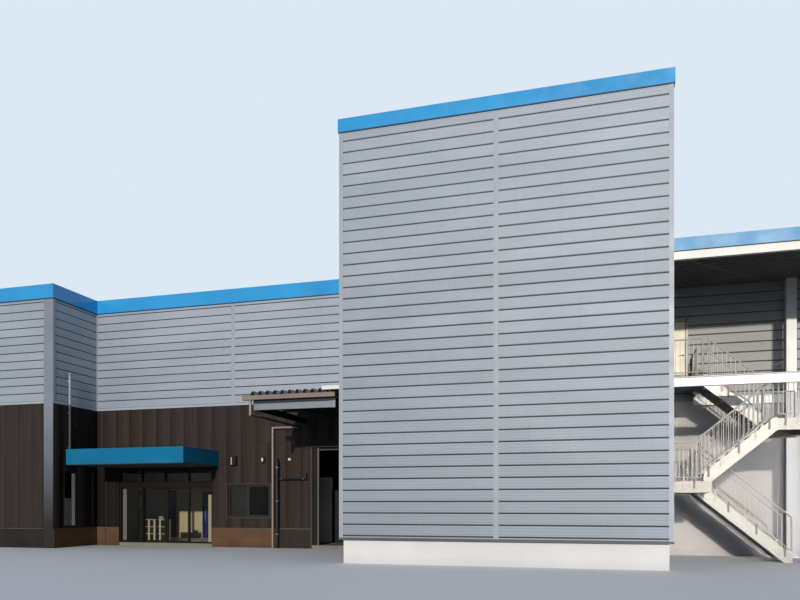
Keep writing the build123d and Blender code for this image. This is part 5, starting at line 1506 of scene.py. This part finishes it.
# %% Stair
TREAD, RISER = 0.24, 0.2
FLIGHTS = [("lower_flight", -1, 0.0, 10), ("middle_flight", 1, 2.2, 7), ("upper_flight", -1, 3.8, 6)]
FRONT_RUN, REAR_RUN = edge("middle_flight", 0, "y"), edge("lower_flight", 0, "y")
FRONT_POSTS = [(9.140, 2.20), (9.489, 2.50), (10.217, 3.11), (10.943, 3.71), (11.316, 3.80), (12.0, 3.80)]
REAR_POSTS = [(10.169, 1.557), (10.877, 0.957), (11.585, 0.357), (10.169, 4.755)]

nosings = new_shape()
for name, way, foot, count in FLIGHTS:
    start = edge(name, 1 if way < 0 else 0, "x")
    near, far = edge(name, 0, "y") + 0.02, edge(name, 1, "y") - 0.02
    for i in range(count):
        x, z = start + way * TREAD * i, foot + RISER * (i + 1)
        bars(nosings, [(min(x, x + way * 0.035), near, z, max(x, x + way * 0.035), far, z + 0.005)], 0.002)
        grips = [x + way * (0.035 + 0.045 * k) for k in (1, 2, 3)]
        bars(nosings, [(grip - 0.006, near + 0.02, z, grip + 0.006, far - 0.02, z + 0.003)
                       for grip in grips], 0.001)
piece("stair_nosings", nosings, dark_flashing_and_shadow)
bar_piece("stair_post_clamps", clamp_grey, [
    (x - 0.025, face - 0.012, z - 0.190, x + 0.025, face - 0.001, z + 0.10)
    for face, posts in ((FRONT_RUN, FRONT_POSTS), (REAR_RUN, REAR_POSTS)) for x, z in posts], 0.002)

# %% [markdown]
# From above, the roofs show standing seams that run with the fall, laid by the same tree,
# and domed outlets where the water leaves them. The vent pipe ends in a cap and has
# couplings.

# %% Roofs
RIBS_UP = Matrix.Rotation(math.radians(-90), 4, "X")
SEAM_PITCH, SEAM_WIDTH = 0.45, 0.028
ROOF_TOP = edge("main_roof", 1, "z")
TOWER_ROOF_TOP = edge("tower_roof", 1, "z")
GALLERY_ROOF_TOP = edge("gallery_roof", 1, "z")
ROOFS = [((LEFT + 0.25, 6.20, ROOF_TOP - 0.03), RIGHT - LEFT - 0.5, BACK - 6.45, 0.065),
         ((LEFT + 0.25, 3.80, ROOF_TOP - 0.03), CORNER - LEFT - 0.45, 2.30, 0.065),
         ((0.25, 0.22, TOWER_ROOF_TOP - 0.03), TOWER_WIDTH - 0.5, FRONT - 0.25, 0.065),
         ((TOWER_WIDTH + 0.05, 1.93, GALLERY_ROOF_TOP - 0.01), RIGHT - TOWER_WIDTH - 0.1,
          FRONT - 1.95, 0.040)]
OUTLETS = [(x, 17.2, ROOF_TOP) for x in (-14.9, -6.0, 4.8, 13.6)]
OUTLETS += [(x, 5.3, TOWER_ROOF_TOP) for x in (1.15, 7.4)]
VENT_X, VENT_Y = edge("vent_pipe", 1, "x") - 0.043, 4.315

laid("roof_seams", [strips(RIBS_UP, corner, span, run, SEAM_PITCH, SEAM_WIDTH, high, grey_sheet)
                    for corner, span, run, high in ROOFS])
drains = new_shape()
for outlet_at in OUTLETS:
    turned(drains, [(-0.02, 0.16), (0.010, 0.16), (0.016, 0.10), (0.060, 0.092), (0.090, 0.060), (0.100, 0)],
           outlet_at, UP, 24)
piece("roof_outlets", drains, dark_flashing_and_shadow)
vent = new_shape()
for z in (3.25, 4.35, 5.55):
    band(vent, (VENT_X, VENT_Y, z), UP, 0.045)
turned(vent, [(0, 0.052), (0.060, 0.060), (0.075, 0.050), (0.082, 0)],
       (VENT_X, VENT_Y, edge("vent_pipe", 1, "z")), UP)
piece("vent_pipe_bands", vent, grey_pipe_shaded_below)

# %% [markdown]
# Boards, trims and seams must not make the building larger than its solids, so the box of
# the dressed model is measured.

# %% Size of the dressed model, and the end
low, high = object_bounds()
